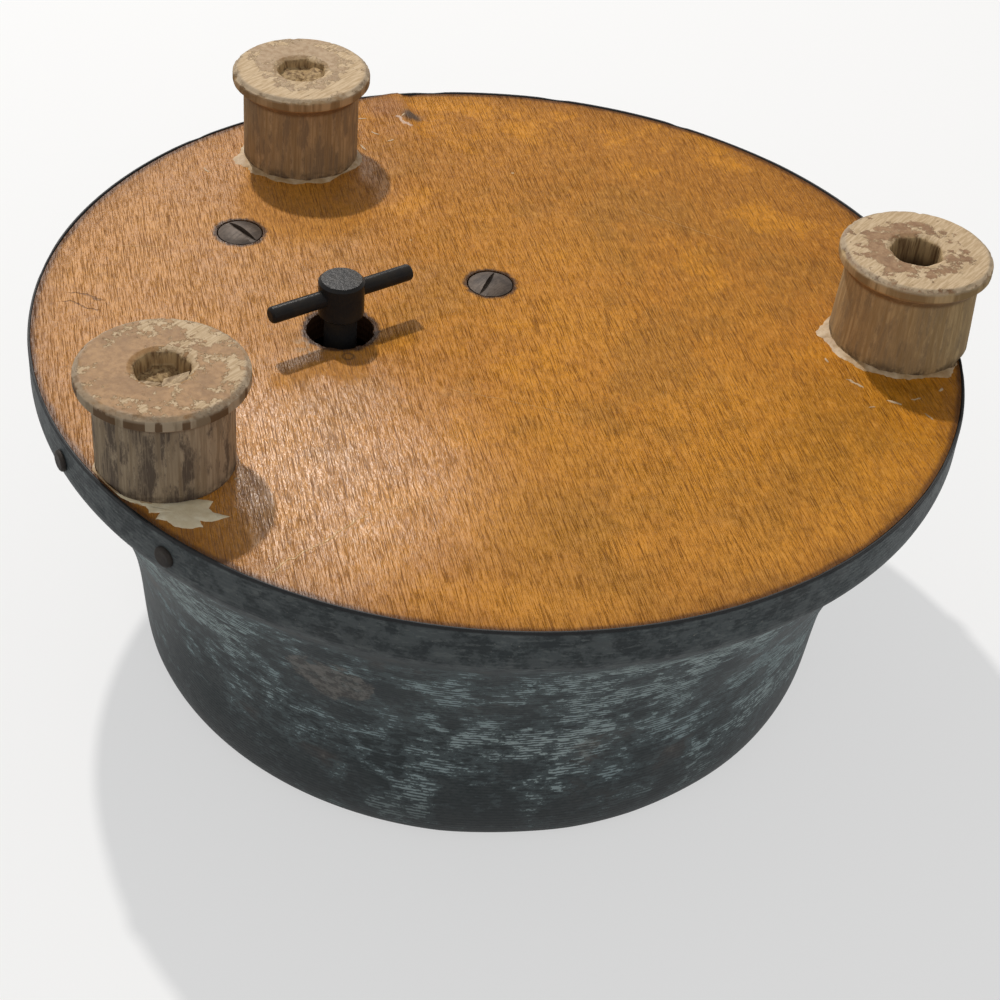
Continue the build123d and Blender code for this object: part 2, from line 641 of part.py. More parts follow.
def train_pinion(step):
    """Pinion driven by that step's wheel, in mesh with it, a little longer than the wheel is thick."""
    teeth, pinion, module, direction, low, thickness = TRAIN[step]
    x, y = train_centres()[step + 1]
    turn = meshing_turn(0.0, teeth, direction, pinion)
    leaves = gear(pinion, module, TRAIN_SHIFT, low - TRAIN_OVERHANG, thickness + 2 * TRAIN_OVERHANG,
                  TRAIN_ARBOR_RADIUS, turn)
    return Pos(x, y, 0) * leaves


def train_arbor(step):
    """Plain arbor between the two plates."""
    x, y = train_centres()[step]
    return rod(TRAIN_ARBOR_RADIUS, BEDPLATE_Z, REAR_FACE, x, y)


def make_fly():
    """Collar with two flat vanes that beat the air."""
    x, y = train_centres()[-1]
    thickness, height, low = FLY_VANE
    vanes = block(2 * FLY_VANE_RADIUS, thickness, low, low + height)
    collar = rod(FLY_COLLAR_RADIUS, low, low + height)
    fly = vanes + collar - rod(TRAIN_ARBOR_RADIUS, low - 1, low + height + 1)
    return Pos(x, y, 0) * Rot(0, 0, FLY_ANGLE) * fly


# ---- disc and spindle ----
def make_spindle():
    """Disc spindle, from the tip that the disc drops on to its journal in the rear plate."""
    return rod(SPINDLE_RADIUS, SPINDLE_TIP_Z, REAR_FACE)


def make_spindle_pinion():
    """Pinion on the spindle, in mesh with the great wheel."""
    turn = meshing_turn(BARREL_ANGLE + 180, BARREL_TEETH, BARREL_ANGLE + 180, SPINDLE_PINION_TEETH)
    return gear(SPINDLE_PINION_TEETH, BARREL_MODULE, BARREL_SHIFT, BARREL_Z - PINION_OVERHANG,
                BARREL_WHEEL_THICKNESS + 2 * PINION_OVERHANG, SPINDLE_RADIUS, turn)


def drive_pin_places():
    return [polar(DRIVE_PIN_CIRCLE, 2 * pi * i / DRIVE_PINS + pi / 6) for i in range(DRIVE_PINS)]


def make_hub():
    """Flange on the spindle that the disc lies on."""
    hub = tube(HUB_RADIUS, SPINDLE_RADIUS, DISC_BACK, DISC_BACK + HUB_THICKNESS)
    for x, y in drive_pin_places():
        hub -= rod(DRIVE_PIN_RADIUS, DISC_BACK - 1, DISC_BACK + HUB_THICKNESS + 1, x, y)
    return hub


def make_drive_pins():
    """Pins that turn the disc."""
    high = DISC_BACK + HUB_THICKNESS
    return group(rod(DRIVE_PIN_RADIUS, high - HUB_THICKNESS - DRIVE_PIN_LENGTH / 2, high, x, y)
                 for x, y in drive_pin_places())


def note_places():
    """Track radius and angle of every note. None lies on the star line at a multiple of 30 degrees."""
    sector = 360 / NOTE_SECTORS
    places = []
    for track in range(NOTES):
        for number in range(NOTE_SECTORS):
            # two fixed patterns of whole numbers stand for a melody: which sectors sound, and how early or late
            if (7 * track + 5 * number + track * number) % NOTE_SECTORS < NOTES_PER_TRACK:
                offset = ((5 * track + 7 * number) % 9 - 4) * NOTE_SHIFT
                places.append((FIRST_TRACK + track * TRACK_PITCH, (number + 0.5) * sector + offset))
    return places


def make_disc():
    """Steel tune disc: a punched window and a turned-down tongue for every note."""
    across, along, height = NOTE_SIZE
    window_along, window_across = NOTE_WINDOW
    disc = rod(DISC_RADIUS, DISC_Z, DISC_BACK)
    cuts = [rod(SPINDLE_RADIUS + RUNNING, DISC_Z - 1, DISC_BACK + 1)]
    cuts += [rod(DRIVE_PIN_RADIUS + RUNNING, DISC_Z - 1, DISC_BACK + 1, x, y) for x, y in drive_pin_places()]
    tongues = []
    for radius, angle in note_places():
        turn = Rot(0, 0, angle) * Pos(radius, 0, 0)
        cuts.append(turn * block(window_across, window_along, DISC_Z - 1, DISC_BACK + 1))
        tongue = block(window_across, along, DISC_Z, DISC_BACK + height, 0, (window_along - along) / 2)
        tongues.append(turn * tongue)
    return disc - cuts + tongues


# ---- star wheels and comb ----
def star_outline():
    points = []
    for i in range(STAR_POINTS):
        points.append(polar(STAR_TIP_RADIUS, 2 * pi * i / STAR_POINTS))
        points.append(polar(STAR_ROOT_RADIUS, 2 * pi * (i + 0.5) / STAR_POINTS))
    return points


def make_star_wheels():
    """One star wheel under each track, side by side on their shaft."""
    wheel = slab(star_outline(), -STAR_THICKNESS / 2, STAR_THICKNESS / 2)
    wheel -= rod(STAR_SHAFT_RADIUS + RUNNING, -1, 1)
    upright = Rot(0, 90, 0) * Rot(0, 0, 180 / STAR_POINTS) * wheel
    return group(Pos(FIRST_TRACK + i * TRACK_PITCH, 0, STAR_Z) * upright for i in range(NOTES))


def star_bracket_places():
    thickness = STAR_BRACKET[0]
    clearance = TRACK_PITCH - STAR_THICKNESS / 2
    return (FIRST_TRACK - clearance - thickness / 2, LAST_TRACK + clearance + thickness / 2)


def make_star_shaft():
    """Shaft of the star wheels, held by the two brackets."""
    first, last = star_bracket_places()
    half = STAR_BRACKET[0] / 2
    length = last - first + 2 * half
    return Pos((first + last) / 2, 0, STAR_Z) * Rot(0, 90, 0) * Cylinder(STAR_SHAFT_RADIUS, length)


def make_star_brackets():
    """Two upright cheeks on the bedplate."""
    thickness, width = STAR_BRACKET
    end = STAR_Z - STAR_BRACKET_RISE
    cheeks = [block(thickness, width, end, BEDPLATE_Z, x) for x in star_bracket_places()]
    return group(cheek - make_star_shaft() for cheek in cheeks)


def comb_line(share, lengths):
    """Straight change of a comb size from the first tooth to the last."""
    return lengths[0] + (lengths[1] - lengths[0]) * share


def comb_root(share):
    return COMB_TIP + comb_line(share, COMB_TEETH_LENGTHS)


def comb_back(share):
    return comb_root(share) + comb_line(share, COMB_BLOCK_WIDTHS)


def comb_block(low, high):
    """The part of the comb behind its teeth, as a plate between two levels."""
    first = FIRST_TRACK - TRACK_PITCH
    last = LAST_TRACK + TRACK_PITCH / 2
    points = [(first, comb_root(0)), (last, comb_root(1)), (last, comb_back(1)), (first, comb_back(0))]
    return slab(points, low, high)


def comb_screw_places():
    span = LAST_TRACK - FIRST_TRACK
    return [(FIRST_TRACK + span * s, (comb_root(s) + comb_back(s)) / 2) for s in COMB_SCREW_SHARES]


def make_comb():
    """Steel comb: a tooth for each star wheel, long for the low notes."""
    comb = comb_block(COMB_Z, COMB_Z + COMB_THICKNESS)
    width = TRACK_PITCH - COMB_GAP
    teeth = []
    for note in range(NOTES):
        share = note / (NOTES - 1)
        end = comb_root(share) + 1.0
        teeth.append(block(width, end - COMB_TIP, COMB_Z, COMB_Z + COMB_THICKNESS,
                           FIRST_TRACK + note * TRACK_PITCH, (end + COMB_TIP) / 2))
    comb += teeth
    for x, y in comb_screw_places():
        comb -= rod(COMB_SCREW_RADIUS, COMB_Z - 1, COMB_Z + COMB_THICKNESS + 1, x, y)
    return comb


def make_comb_base():
    """Block between the comb and the bedplate."""
    base = comb_block(COMB_Z + COMB_THICKNESS, BEDPLATE_Z)
    for x, y in comb_screw_places():
        base -= rod(COMB_SCREW_RADIUS, COMB_Z - 1, BEDPLATE_Z + 1, x, y)
    return base


def make_comb_screws():
    head_radius, head_height = COMB_SCREW_HEAD
    return group(
        slotted_screw(x, y, COMB_Z - head_height, COMB_Z, BEDPLATE_BACK, COMB_SCREW_RADIUS, head_radius)
        for x, y in comb_screw_places()
    )


# ---- hold-down arm ----
def make_arm():
    """Flat arm over the disc, with a knuckle at its hinge and a hole over the spindle's tip."""
    low = ARM_Z - ARM_THICKNESS / 2
    high = ARM_Z + ARM_THICKNESS / 2
    arm = block(ARM_PIVOT_X - ARM_END_X, ARM_WIDTH, low, high, (ARM_PIVOT_X + ARM_END_X) / 2)
    arm += rod(ARM_EYE_RADIUS, low, high)
    knuckle = Pos(ARM_PIVOT_X, 0, ARM_Z) * Rot(90, 0, 0) * Cylinder(ARM_KNUCKLE_RADIUS, ARM_WIDTH)
    arm += knuckle
    arm -= rod(ARM_HOLE_RADIUS, low - 1, high + 1)
    return arm - Pos(ARM_PIVOT_X, 0, ARM_Z) * Rot(90, 0, 0) * Cylinder(ARM_PIN_RADIUS + RUNNING, 2 * ARM_WIDTH)


def arm_pin(length):
    return Pos(ARM_PIVOT_X, 0, ARM_Z) * Rot(90, 0, 0) * Cylinder(ARM_PIN_RADIUS, length)


def ear_offset():
    return ARM_WIDTH / 2 + NEAR + ARM_EAR[1] / 2


def make_arm_pin():
    """Hinge pin between the two ears."""
    return arm_pin(2 * ear_offset() + ARM_EAR[1])


def make_arm_ears():
    """Two ears that stand on the bedplate outside the disc and carry the hinge pin."""
    length, width = ARM_EAR
    ears = [block(length, width, ARM_EAR_TOP, BEDPLATE_Z, ARM_PIVOT_X, side * ear_offset()) for side in (-1, 1)]
    return group(ear - arm_pin(4 * ARM_WIDTH) for ear in ears)


def make_pad():
    """Strip under the arm that keeps the disc down on the star wheels."""
    start, end = PAD_SPAN
    return block(end - start, PAD_WIDTH, ARM_Z + ARM_THICKNESS / 2, DISC_Z - NEAR, (start + end) / 2)


def make_parts():
    """Every node by name."""
    parts = {
        "case_shell": make_case(),
        "base_board": make_board(),
        "rim_nails": make_nails(),
        "fixing_screws": make_fixing_screws(),
        "screw_spacers": make_spacers(),
        "rear_plate": make_rear_plate(),
        "bedplate": make_bedplate(),
        "frame_pillars": make_pillars(),
        "pillar_screws": make_pillar_screws(),
        "mainspring_barrel": make_barrel(),
        "barrel_cover": make_barrel_cover(),
        "mainspring": make_mainspring(),
        "barrel_arbor": make_arbor(),
        "ratchet_wheel": make_ratchet(),
        "click": make_click(),
        "click_stud": make_click_stud(),
        "click_spring": make_click_spring(),
        "winding_key": make_key(),
        "key_crossbar": make_crossbar(),
        "disc_spindle": make_spindle(),
        "spindle_pinion": make_spindle_pinion(),
        "spindle_wheel": train_wheel(0, 0.0),
        "fly_vanes": make_fly(),
        "disc_hub": make_hub(),
        "drive_pins": make_drive_pins(),
        "tune_disc": make_disc(),
        "star_wheels": make_star_wheels(),
        "star_shaft": make_star_shaft(),
        "star_brackets": make_star_brackets(),
        "comb": make_comb(),
        "comb_base": make_comb_base(),
        "comb_screws": make_comb_screws(),
        "hold_down_arm": make_arm(),
        "hold_down_pad": make_pad(),
        "arm_hinge_pin": make_arm_pin(),
        "arm_hinge_ears": make_arm_ears(),
    }
    for name, inset, direction, flange, neck, bottom, bore_depth in FEET:
        parts[name] = make_foot(inset, direction, flange, neck, bottom, bore_depth)
    for step, name in enumerate(TRAIN_NAMES):
        parts[name + "_arbor"] = train_arbor(step + 1)
        parts[name + "_pinion"] = train_pinion(step)
        if step + 1 < len(TRAIN):
            parts[name + "_wheel"] = train_wheel(step + 1, 0.0)
    return parts


def main():
    os.makedirs("parts", exist_ok=True)
    for name, shape in make_parts().items():
        export_step(shape, f"parts/{name}.step")


main()
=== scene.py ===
import json
import math
import bpy
from mathutils import Matrix, Vector, noise
from mathutils.geometry import delaunay_2d_cdt


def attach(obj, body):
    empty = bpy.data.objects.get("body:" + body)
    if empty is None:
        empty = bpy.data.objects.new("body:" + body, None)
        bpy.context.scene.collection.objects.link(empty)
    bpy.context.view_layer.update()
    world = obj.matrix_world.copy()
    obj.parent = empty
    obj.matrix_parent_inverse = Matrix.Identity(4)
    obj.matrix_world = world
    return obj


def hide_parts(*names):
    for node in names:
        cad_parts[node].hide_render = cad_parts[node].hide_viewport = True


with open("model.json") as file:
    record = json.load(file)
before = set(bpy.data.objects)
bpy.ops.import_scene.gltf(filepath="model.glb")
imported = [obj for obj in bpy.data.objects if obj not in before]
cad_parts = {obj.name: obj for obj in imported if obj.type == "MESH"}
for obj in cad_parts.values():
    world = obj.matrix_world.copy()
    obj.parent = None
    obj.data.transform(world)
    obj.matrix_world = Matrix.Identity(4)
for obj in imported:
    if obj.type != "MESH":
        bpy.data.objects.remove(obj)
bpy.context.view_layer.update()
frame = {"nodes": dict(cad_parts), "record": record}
nodes = frame["nodes"]
MM = 0.001
BOARD_TOP = 64.7          # face of the base board, in mm, as all sizes below
RIM_Z = 65.0
FOOT_TOP = 82.6
GRAIN_TURN = 74.5         # degrees that bring the board's grain to the X axis
KEY_AXIS = (-26.85, -7.95)
SCREWS = ((-48.0, 19.7), (-2.3, 10.1))
VENEER_RADIUS = 79.3
KEY_HOLE_RADIUS = 5.9
SCREW_HOLE_RADIUS = 4.25
BORE_RADIUS = 4.25
SHEET = 0.85              # thickness of the dressed case's wall
CASE_REACH = 79.97        # nothing on the case lies outside this radius,
GLUE_REACH = 79.0         # no glue outside this one,
FOOT_REACH = 78.6         # and no foot, below the rim, outside this one
FILL_STRENGTH = 0.34      # world's light on the object
SEEN_STRENGTH = 1.0       # world as the camera and shiny things see it


# ---------------- materials ----------------
class Look:
    """A node material under construction."""

    def __init__(self, name):
        self.material = bpy.data.materials.new(name)
        self.material.use_nodes = True
        self.nodes = self.material.node_tree.nodes
        self.links = self.material.node_tree.links
        self.shader = self.nodes["Principled BSDF"]
        self.place = self.nodes.new("ShaderNodeTexCoord").outputs["Object"]
        self.normal = None

    def put(self, socket, value):
        if isinstance(value, bpy.types.NodeSocket):
            self.links.new(value, socket)
        elif isinstance(value, (tuple, list)) and len(value) == 3 and len(socket.default_value) == 4:
            socket.default_value = (*value, 1.0)
        else:
            socket.default_value = value

    def set(self, **values):
        for name, value in values.items():
            self.put(self.shader.inputs[name.replace("_", " ")], value)

    def math(self, kind, a, b=0.0, clamp=False):
        n = self.nodes.new("ShaderNodeMath")
        n.operation = kind
        n.use_clamp = clamp
        self.put(n.inputs[0], a)
        self.put(n.inputs[1], b)
        return n.outputs[0]

    def vector(self, kind, a, b):
        n = self.nodes.new("ShaderNodeVectorMath")
        n.operation = kind
        self.put(n.inputs[0], a)
        self.put(n.inputs[1], b)
        return n.outputs["Value" if kind in ("DOT_PRODUCT", "LENGTH") else "Vector"]

    def mapped(self, scale=(1, 1, 1), turn=0.0, shift=(0, 0, 0), place=None):
        turned = self.nodes.new("ShaderNodeMapping")
        self.put(turned.inputs["Vector"], place or self.place)
        turned.inputs["Rotation"].default_value = (0, 0, math.radians(turn))
        turned.inputs["Location"].default_value = shift
        scaled = self.nodes.new("ShaderNodeMapping")
        self.links.new(turned.outputs[0], scaled.inputs["Vector"])
        scaled.inputs["Scale"].default_value = scale
        return scaled.outputs[0]

    def noise(self, scale, stretch=(1, 1, 1), detail=4.0, rough=0.5, turn=0.0, distort=0.0,
              shift=(0, 0, 0), place=None):
        n = self.nodes.new("ShaderNodeTexNoise")
        self.put(n.inputs["Vector"], self.mapped(stretch, turn, shift, place))
        n.inputs["Scale"].default_value = scale
        n.inputs["Detail"].default_value = detail
        n.inputs["Roughness"].default_value = rough
        n.inputs["Distortion"].default_value = distort
        return n.outputs["Fac"]

    def cells(self, scale):
        n = self.nodes.new("ShaderNodeTexVoronoi")
        self.put(n.inputs["Vector"], self.mapped())
        n.inputs["Scale"].default_value = scale
        return n

    def step(self, value, low, high):
        """0 below low, 1 above high, smooth between."""
        n = self.nodes.new("ShaderNodeMapRange")
        n.interpolation_type = "SMOOTHSTEP"
        self.put(n.inputs["Value"], value)
        falling = low > high
        n.inputs["From Min"].default_value = min(low, high)
        n.inputs["From Max"].default_value = max(low, high)
        n.inputs["To Min"].default_value = 1.0 if falling else 0.0
        n.inputs["To Max"].default_value = 0.0 if falling else 1.0
        return n.outputs["Result"]

    def band(self, value, a, b, c, d):
        """1 from b to c, falling to 0 at a and d."""
        return self.times(self.step(value, a, b), self.step(value, d, c))

    def mix(self, share, a, b):
        n = self.nodes.new("ShaderNodeMix")
        n.data_type = "RGBA"
        self.put(n.inputs[0], share)
        self.put(n.inputs[6], a)
        self.put(n.inputs[7], b)
        return n.outputs[2]

    def between(self, share, a, b):
        n = self.nodes.new("ShaderNodeMix")
        self.put(n.inputs[0], share)
        self.put(n.inputs[2], a)
        self.put(n.inputs[3], b)
        return n.outputs[0]

    def times(self, *values):
        result = values[0]
        for v in values[1:]:
            result = self.math("MULTIPLY", result, v)
        return result

    def most(self, *values):
        result = values[0]
        for v in values[1:]:
            result = self.math("MAXIMUM", result, v)
        return result

    def sway(self, value, amount):
        """Noise centred on 0, times amount."""
        return self.math("MULTIPLY", self.math("SUBTRACT", value, 0.5), amount)

    def bump(self, height, distance, strength=1.0):
        n = self.nodes.new("ShaderNodeBump")
        self.put(n.inputs["Height"], height)
        n.inputs["Distance"].default_value = distance
        n.inputs["Strength"].default_value = strength
        if self.normal is not None:
            self.links.new(self.normal, n.inputs["Normal"])
        self.normal = n.outputs[0]
        self.put(self.shader.inputs["Normal"], self.normal)

    def axis(self, letter, place=None):
        n = self.nodes.new("ShaderNodeSeparateXYZ")
        self.put(n.inputs[0], place or self.place)
        return n.outputs[letter]

    def from_point(self, x, y, z=0.0):
        """Object coordinates counted from a point in mm."""
        return self.vector("SUBTRACT", self.place, (x * MM, y * MM, z * MM))

    def radius(self, place):
        x = self.axis("X", place)
        y = self.axis("Y", place)
        return self.math("SQRT", self.math("ADD", self.math("MULTIPLY", x, x), self.math("MULTIPLY", y, y)))

    def line(self, start, end, width, wobble=0.4, scale=250.0):
        """Mask of a wavering line on the board, from start to end, all in mm."""
        sx, sy = start
        ex, ey = end
        length = math.hypot(ex - sx, ey - sy)
        ux, uy = (ex - sx) / length, (ey - sy) / length
        local = self.from_point(sx, sy)
        along = self.vector("DOT_PRODUCT", local, (ux, uy, 0.0))
        across = self.vector("DOT_PRODUCT", local, (-uy, ux, 0.0))
        wander = self.sway(self.noise(scale, detail=3.0), wobble * 4 * MM)
        off = self.math("ABSOLUTE", self.math("ADD", across, wander))
        inside = self.band(along, 0.0, 0.06 * length * MM, 0.9 * length * MM, length * MM)
        return self.math("MULTIPLY", self.step(off, width * MM, width * 0.4 * MM), inside)

    def spot(self, x, y, radius, soft=0.6):
        """Soft round mask on the board, in mm."""
        return self.step(self.radius(self.from_point(x, y)), radius * MM, radius * (1 - soft) * MM)


def wood_board():
    """Varnished veneer: fine dark grain in one direction, redder and glossier on the left."""
    k = Look("varnished_plywood_look")
    fibres = k.noise(1.0, (150, 4300, 60), 3.0, 0.62, GRAIN_TURN)
    hairs = k.noise(1.0, (330, 7600, 60), 2.0, 0.55, GRAIN_TURN, shift=(0.3, 0.1, 0))
    bands = k.noise(1.0, (40, 520, 20), 5.0, 0.62, GRAIN_TURN, 0.3)
    broad = k.noise(24.0, (1, 1, 0.4), 4.0, 0.55)
    middle = k.noise(95.0, (1, 1, 0.4), 6.0, 0.62)
    pores = k.step(k.math("ADD", fibres, k.sway(middle, 0.22)), 0.545, 0.66)
    fine = k.step(hairs, 0.53, 0.66)
    x = k.axis("X")
    y = k.axis("Y")
    amber = k.mix(k.step(broad, 0.32, 0.70), (0.510, 0.190, 0.0095), (0.670, 0.272, 0.0180))
    amber = k.mix(k.times(k.step(bands, 0.44, 0.70), 0.45), amber, (0.430, 0.155, 0.0080))
    amber = k.mix(k.times(k.step(y, 0.004, 0.052), 0.60), amber, (0.340, 0.122, 0.0060))
    clouds = k.noise(36.0, (1, 1, 0.3), 7.0, 0.66, shift=(0.5, 0.2, 0))
    amber = k.mix(k.times(k.step(clouds, 0.52, 0.60), 0.55), amber, (0.370, 0.155, 0.0120))
    amber = k.mix(k.times(k.step(clouds, 0.47, 0.39), 0.60), amber, (0.740, 0.295, 0.0095))
    tan = k.mix(k.step(middle, 0.3, 0.7), (0.460, 0.192, 0.038), (0.590, 0.268, 0.066))
    left = k.step(k.math("ADD", x, k.sway(broad, 0.09)), -0.012, -0.060)
    near = k.step(k.math("ADD", y, k.sway(middle, 0.05)), -0.026, -0.068)
    colour = k.mix(k.times(left, 0.85), amber, tan)
    colour = k.mix(k.times(near, 0.30), colour, tan)
    # darker, greener stains on the right and towards the near edge
    stain = k.math("ADD", k.spot(22, -56, 30, 0.9), k.spot(60, -24, 26, 0.9), True)
    stain = k.math("ADD", stain, k.spot(34, 26, 30, 1.0), True)
    stain = k.times(stain, k.step(k.noise(52.0, (1, 1, 0.2), 6.0, 0.66), 0.42, 0.62), 0.55)
    colour = k.mix(stain, colour, (0.270, 0.120, 0.009))
    blot = k.times(k.step(k.noise(150.0, (1, 1, 0.2), 5.0, 0.66, shift=(0.2, 0, 0)), 0.60, 0.74), 0.42)
    colour = k.mix(blot, colour, (0.250, 0.104, 0.010))
    mottle = k.noise(620.0, (1, 1, 0.3), 6.0, 0.72)
    colour = k.mix(k.times(k.step(mottle, 0.50, 0.62), 0.30), colour, (0.250, 0.092, 0.009))
    colour = k.mix(k.times(k.step(mottle, 0.48, 0.36), 0.26), colour, (0.720, 0.340, 0.060))
    speckle = k.noise(1.0, (1000, 2900, 300), 3.0, 0.62, GRAIN_TURN)
    colour = k.mix(k.times(k.step(speckle, 0.52, 0.64), 0.28), colour, (0.200, 0.072, 0.008))
    colour = k.mix(k.times(k.step(speckle, 0.46, 0.34), 0.22), colour, (0.700, 0.330, 0.070))
    # grain
    colour = k.mix(k.times(pores, 0.64), colour, (0.165, 0.052, 0.0055))
    colour = k.mix(k.times(fine, 0.30), colour, (0.190, 0.062, 0.0065))
    colour = k.mix(k.times(k.step(hairs, 0.46, 0.36), 0.34), colour, (0.76, 0.370, 0.090))
    # crack, scratches, folds and old marks, with painted shade and a painted highlight by the fold
    crack = k.line((-30.6, -71.4), (-16.6, -55.2), 0.20, 0.55, 420.0)
    beside = k.line((-29.9, -72.0), (-15.9, -55.8), 0.26, 0.5, 420.0)
    faint = k.line((-16.6, -55.2), (-6.0, -50.5), 0.12, 0.4)
    scratches = k.most(
        k.line((-68.3, 12.0), (-60.2, 12.6), 0.14, 0.15),
        k.line((22.0, 40.0), (41.0, 31.0), 0.09, 0.3),
        k.line((-8.0, -22.0), (14.0, -26.5), 0.08, 0.4))
    folds = k.most(
        k.line((-76.0, -2.4), (-66.0, -6.4), 0.34, 1.3),
        k.line((-74.5, -6.6), (-65.5, -9.2), 0.26, 1.2))
    folds = k.times(folds, k.step(k.noise(330.0, detail=4.0), 0.40, 0.56))
    worn = k.times(k.spot(-31.3, -13.6, 4.6, 0.8), k.step(k.noise(700.0, (1, 1, 0.2), 4.0, 0.6), 0.46, 0.58))
    specks = k.cells(230.0)
    seed = k.nodes.new("ShaderNodeSeparateColor")
    k.links.new(specks.outputs["Color"], seed.inputs[0])
    few = k.math("GREATER_THAN", seed.outputs[0], 0.975)
    dots = k.times(k.step(specks.outputs["Distance"], 0.09, 0.04), few)
    pale = k.most(k.times(crack, 0.85), k.times(faint, 0.45), k.times(scratches, 0.55))
    colour = k.mix(k.times(beside, 0.22), colour, (0.150, 0.055, 0.010))
    colour = k.mix(k.times(pale, 0.70), colour, (0.80, 0.54, 0.26))
    colour = k.mix(k.times(dots, 0.7), colour, (0.74, 0.55, 0.32))
    colour = k.mix(k.times(worn, 0.45), colour, (0.33, 0.27, 0.19))
    colour = k.mix(k.times(folds, 0.60), colour, (0.105, 0.050, 0.026))
    blister = k.spot(-26.0, 69.5, 6.5, 0.8)
    colour = k.mix(k.times(blister, 0.50), colour, (0.300, 0.120, 0.045))
    # painted shade: a near-black spot in the hollow beside the fold
    painted_hollow_shade = k.times(k.spot(-20.9, 66.8, 2.7, 0.7), k.step(k.noise(420.0, detail=4.0), 0.30, 0.46))
    colour = k.mix(k.times(painted_hollow_shade, 0.90), colour, (0.060, 0.046, 0.034))
    # painted highlight: a pale streak on the fold's lower end
    torn_wood_and_glint = k.line((-24.0, 66.2), (-20.6, 62.6), 0.55, 0.8, 420.0)
    colour = k.mix(k.times(torn_wood_and_glint, 0.75), colour, (0.72, 0.54, 0.42))
    # darker towards the rim, near black at its very edge
    edge = k.math("ADD", k.radius(k.place), k.math("MULTIPLY", k.noise(300.0, detail=4.0), 0.0012))
    colour = k.mix(k.times(k.step(edge, 0.0745, 0.0795), 0.30), colour, (0.170, 0.060, 0.008))
    colour = k.mix(k.times(k.step(edge, 0.0786, 0.0796), 0.80), colour, (0.075, 0.026, 0.007))
    punch = k.math("ABSOLUTE", k.math("SUBTRACT", k.radius(k.from_point(-24.7, -15.6)), 0.0009))
    colour = k.mix(k.times(k.step(punch, 0.00032, 0.00012), 0.6), colour, (0.08, 0.035, 0.010))
    # plies on the cut edges, below the face, and dark rings round the key's hole and the screws
    depth = k.axis("Z")
    plies = k.math("SINE", k.math("MULTIPLY", depth, 2 * math.pi / 0.0013))
    cut = k.step(depth, (BOARD_TOP - 0.08) * MM, (BOARD_TOP - 0.20) * MM)
    colour = k.mix(cut, colour, k.mix(k.step(plies, -0.3, 0.3), (0.14, 0.065, 0.022), (0.30, 0.165, 0.065)))
    for px, py, reach in ((*KEY_AXIS, 6.7), (*SCREWS[0], 4.8), (*SCREWS[1], 4.8)):
        rough_edge = k.math("MULTIPLY", k.noise(900.0, detail=4.0), 0.0016)
        ragged = k.math("SUBTRACT", k.radius(k.from_point(px, py)), rough_edge)
        ring = k.step(ragged, (reach - 0.4) * MM, (reach - 1.3) * MM)
        colour = k.mix(k.times(ring, 0.90), colour, (0.026, 0.010, 0.005))
    k.set(Base_Color=colour)
    gloss = k.math("ADD", k.times(k.spot(-28, -48, 40, 0.95), 0.85), k.times(left, 0.22), True)
    rough = k.math("ADD", k.between(gloss, 0.40, 0.22), k.math("MULTIPLY", middle, 0.10))
    k.set(Roughness=k.math("ADD", rough, k.times(pores, 0.12)))
    k.set(Specular_IOR_Level=k.between(gloss, 0.07, 0.50))
    relief = k.math("ADD", k.times(pores, 0.6), k.times(fine, 0.5))
    k.bump(k.math("SUBTRACT", 1.0, relief), 0.00013, 0.85)
    k.bump(mottle, 0.00014, 0.7)
    ripple = k.noise(1.0, (620, 1500, 200), 2.0, 0.60, GRAIN_TURN, 0.3)
    k.bump(k.times(gloss, ripple), 0.00034, 1.0)
    k.bump(k.math("SUBTRACT", k.times(pale, 0.5), k.times(folds, 0.6)), 0.00025, 0.8)
    return k.material


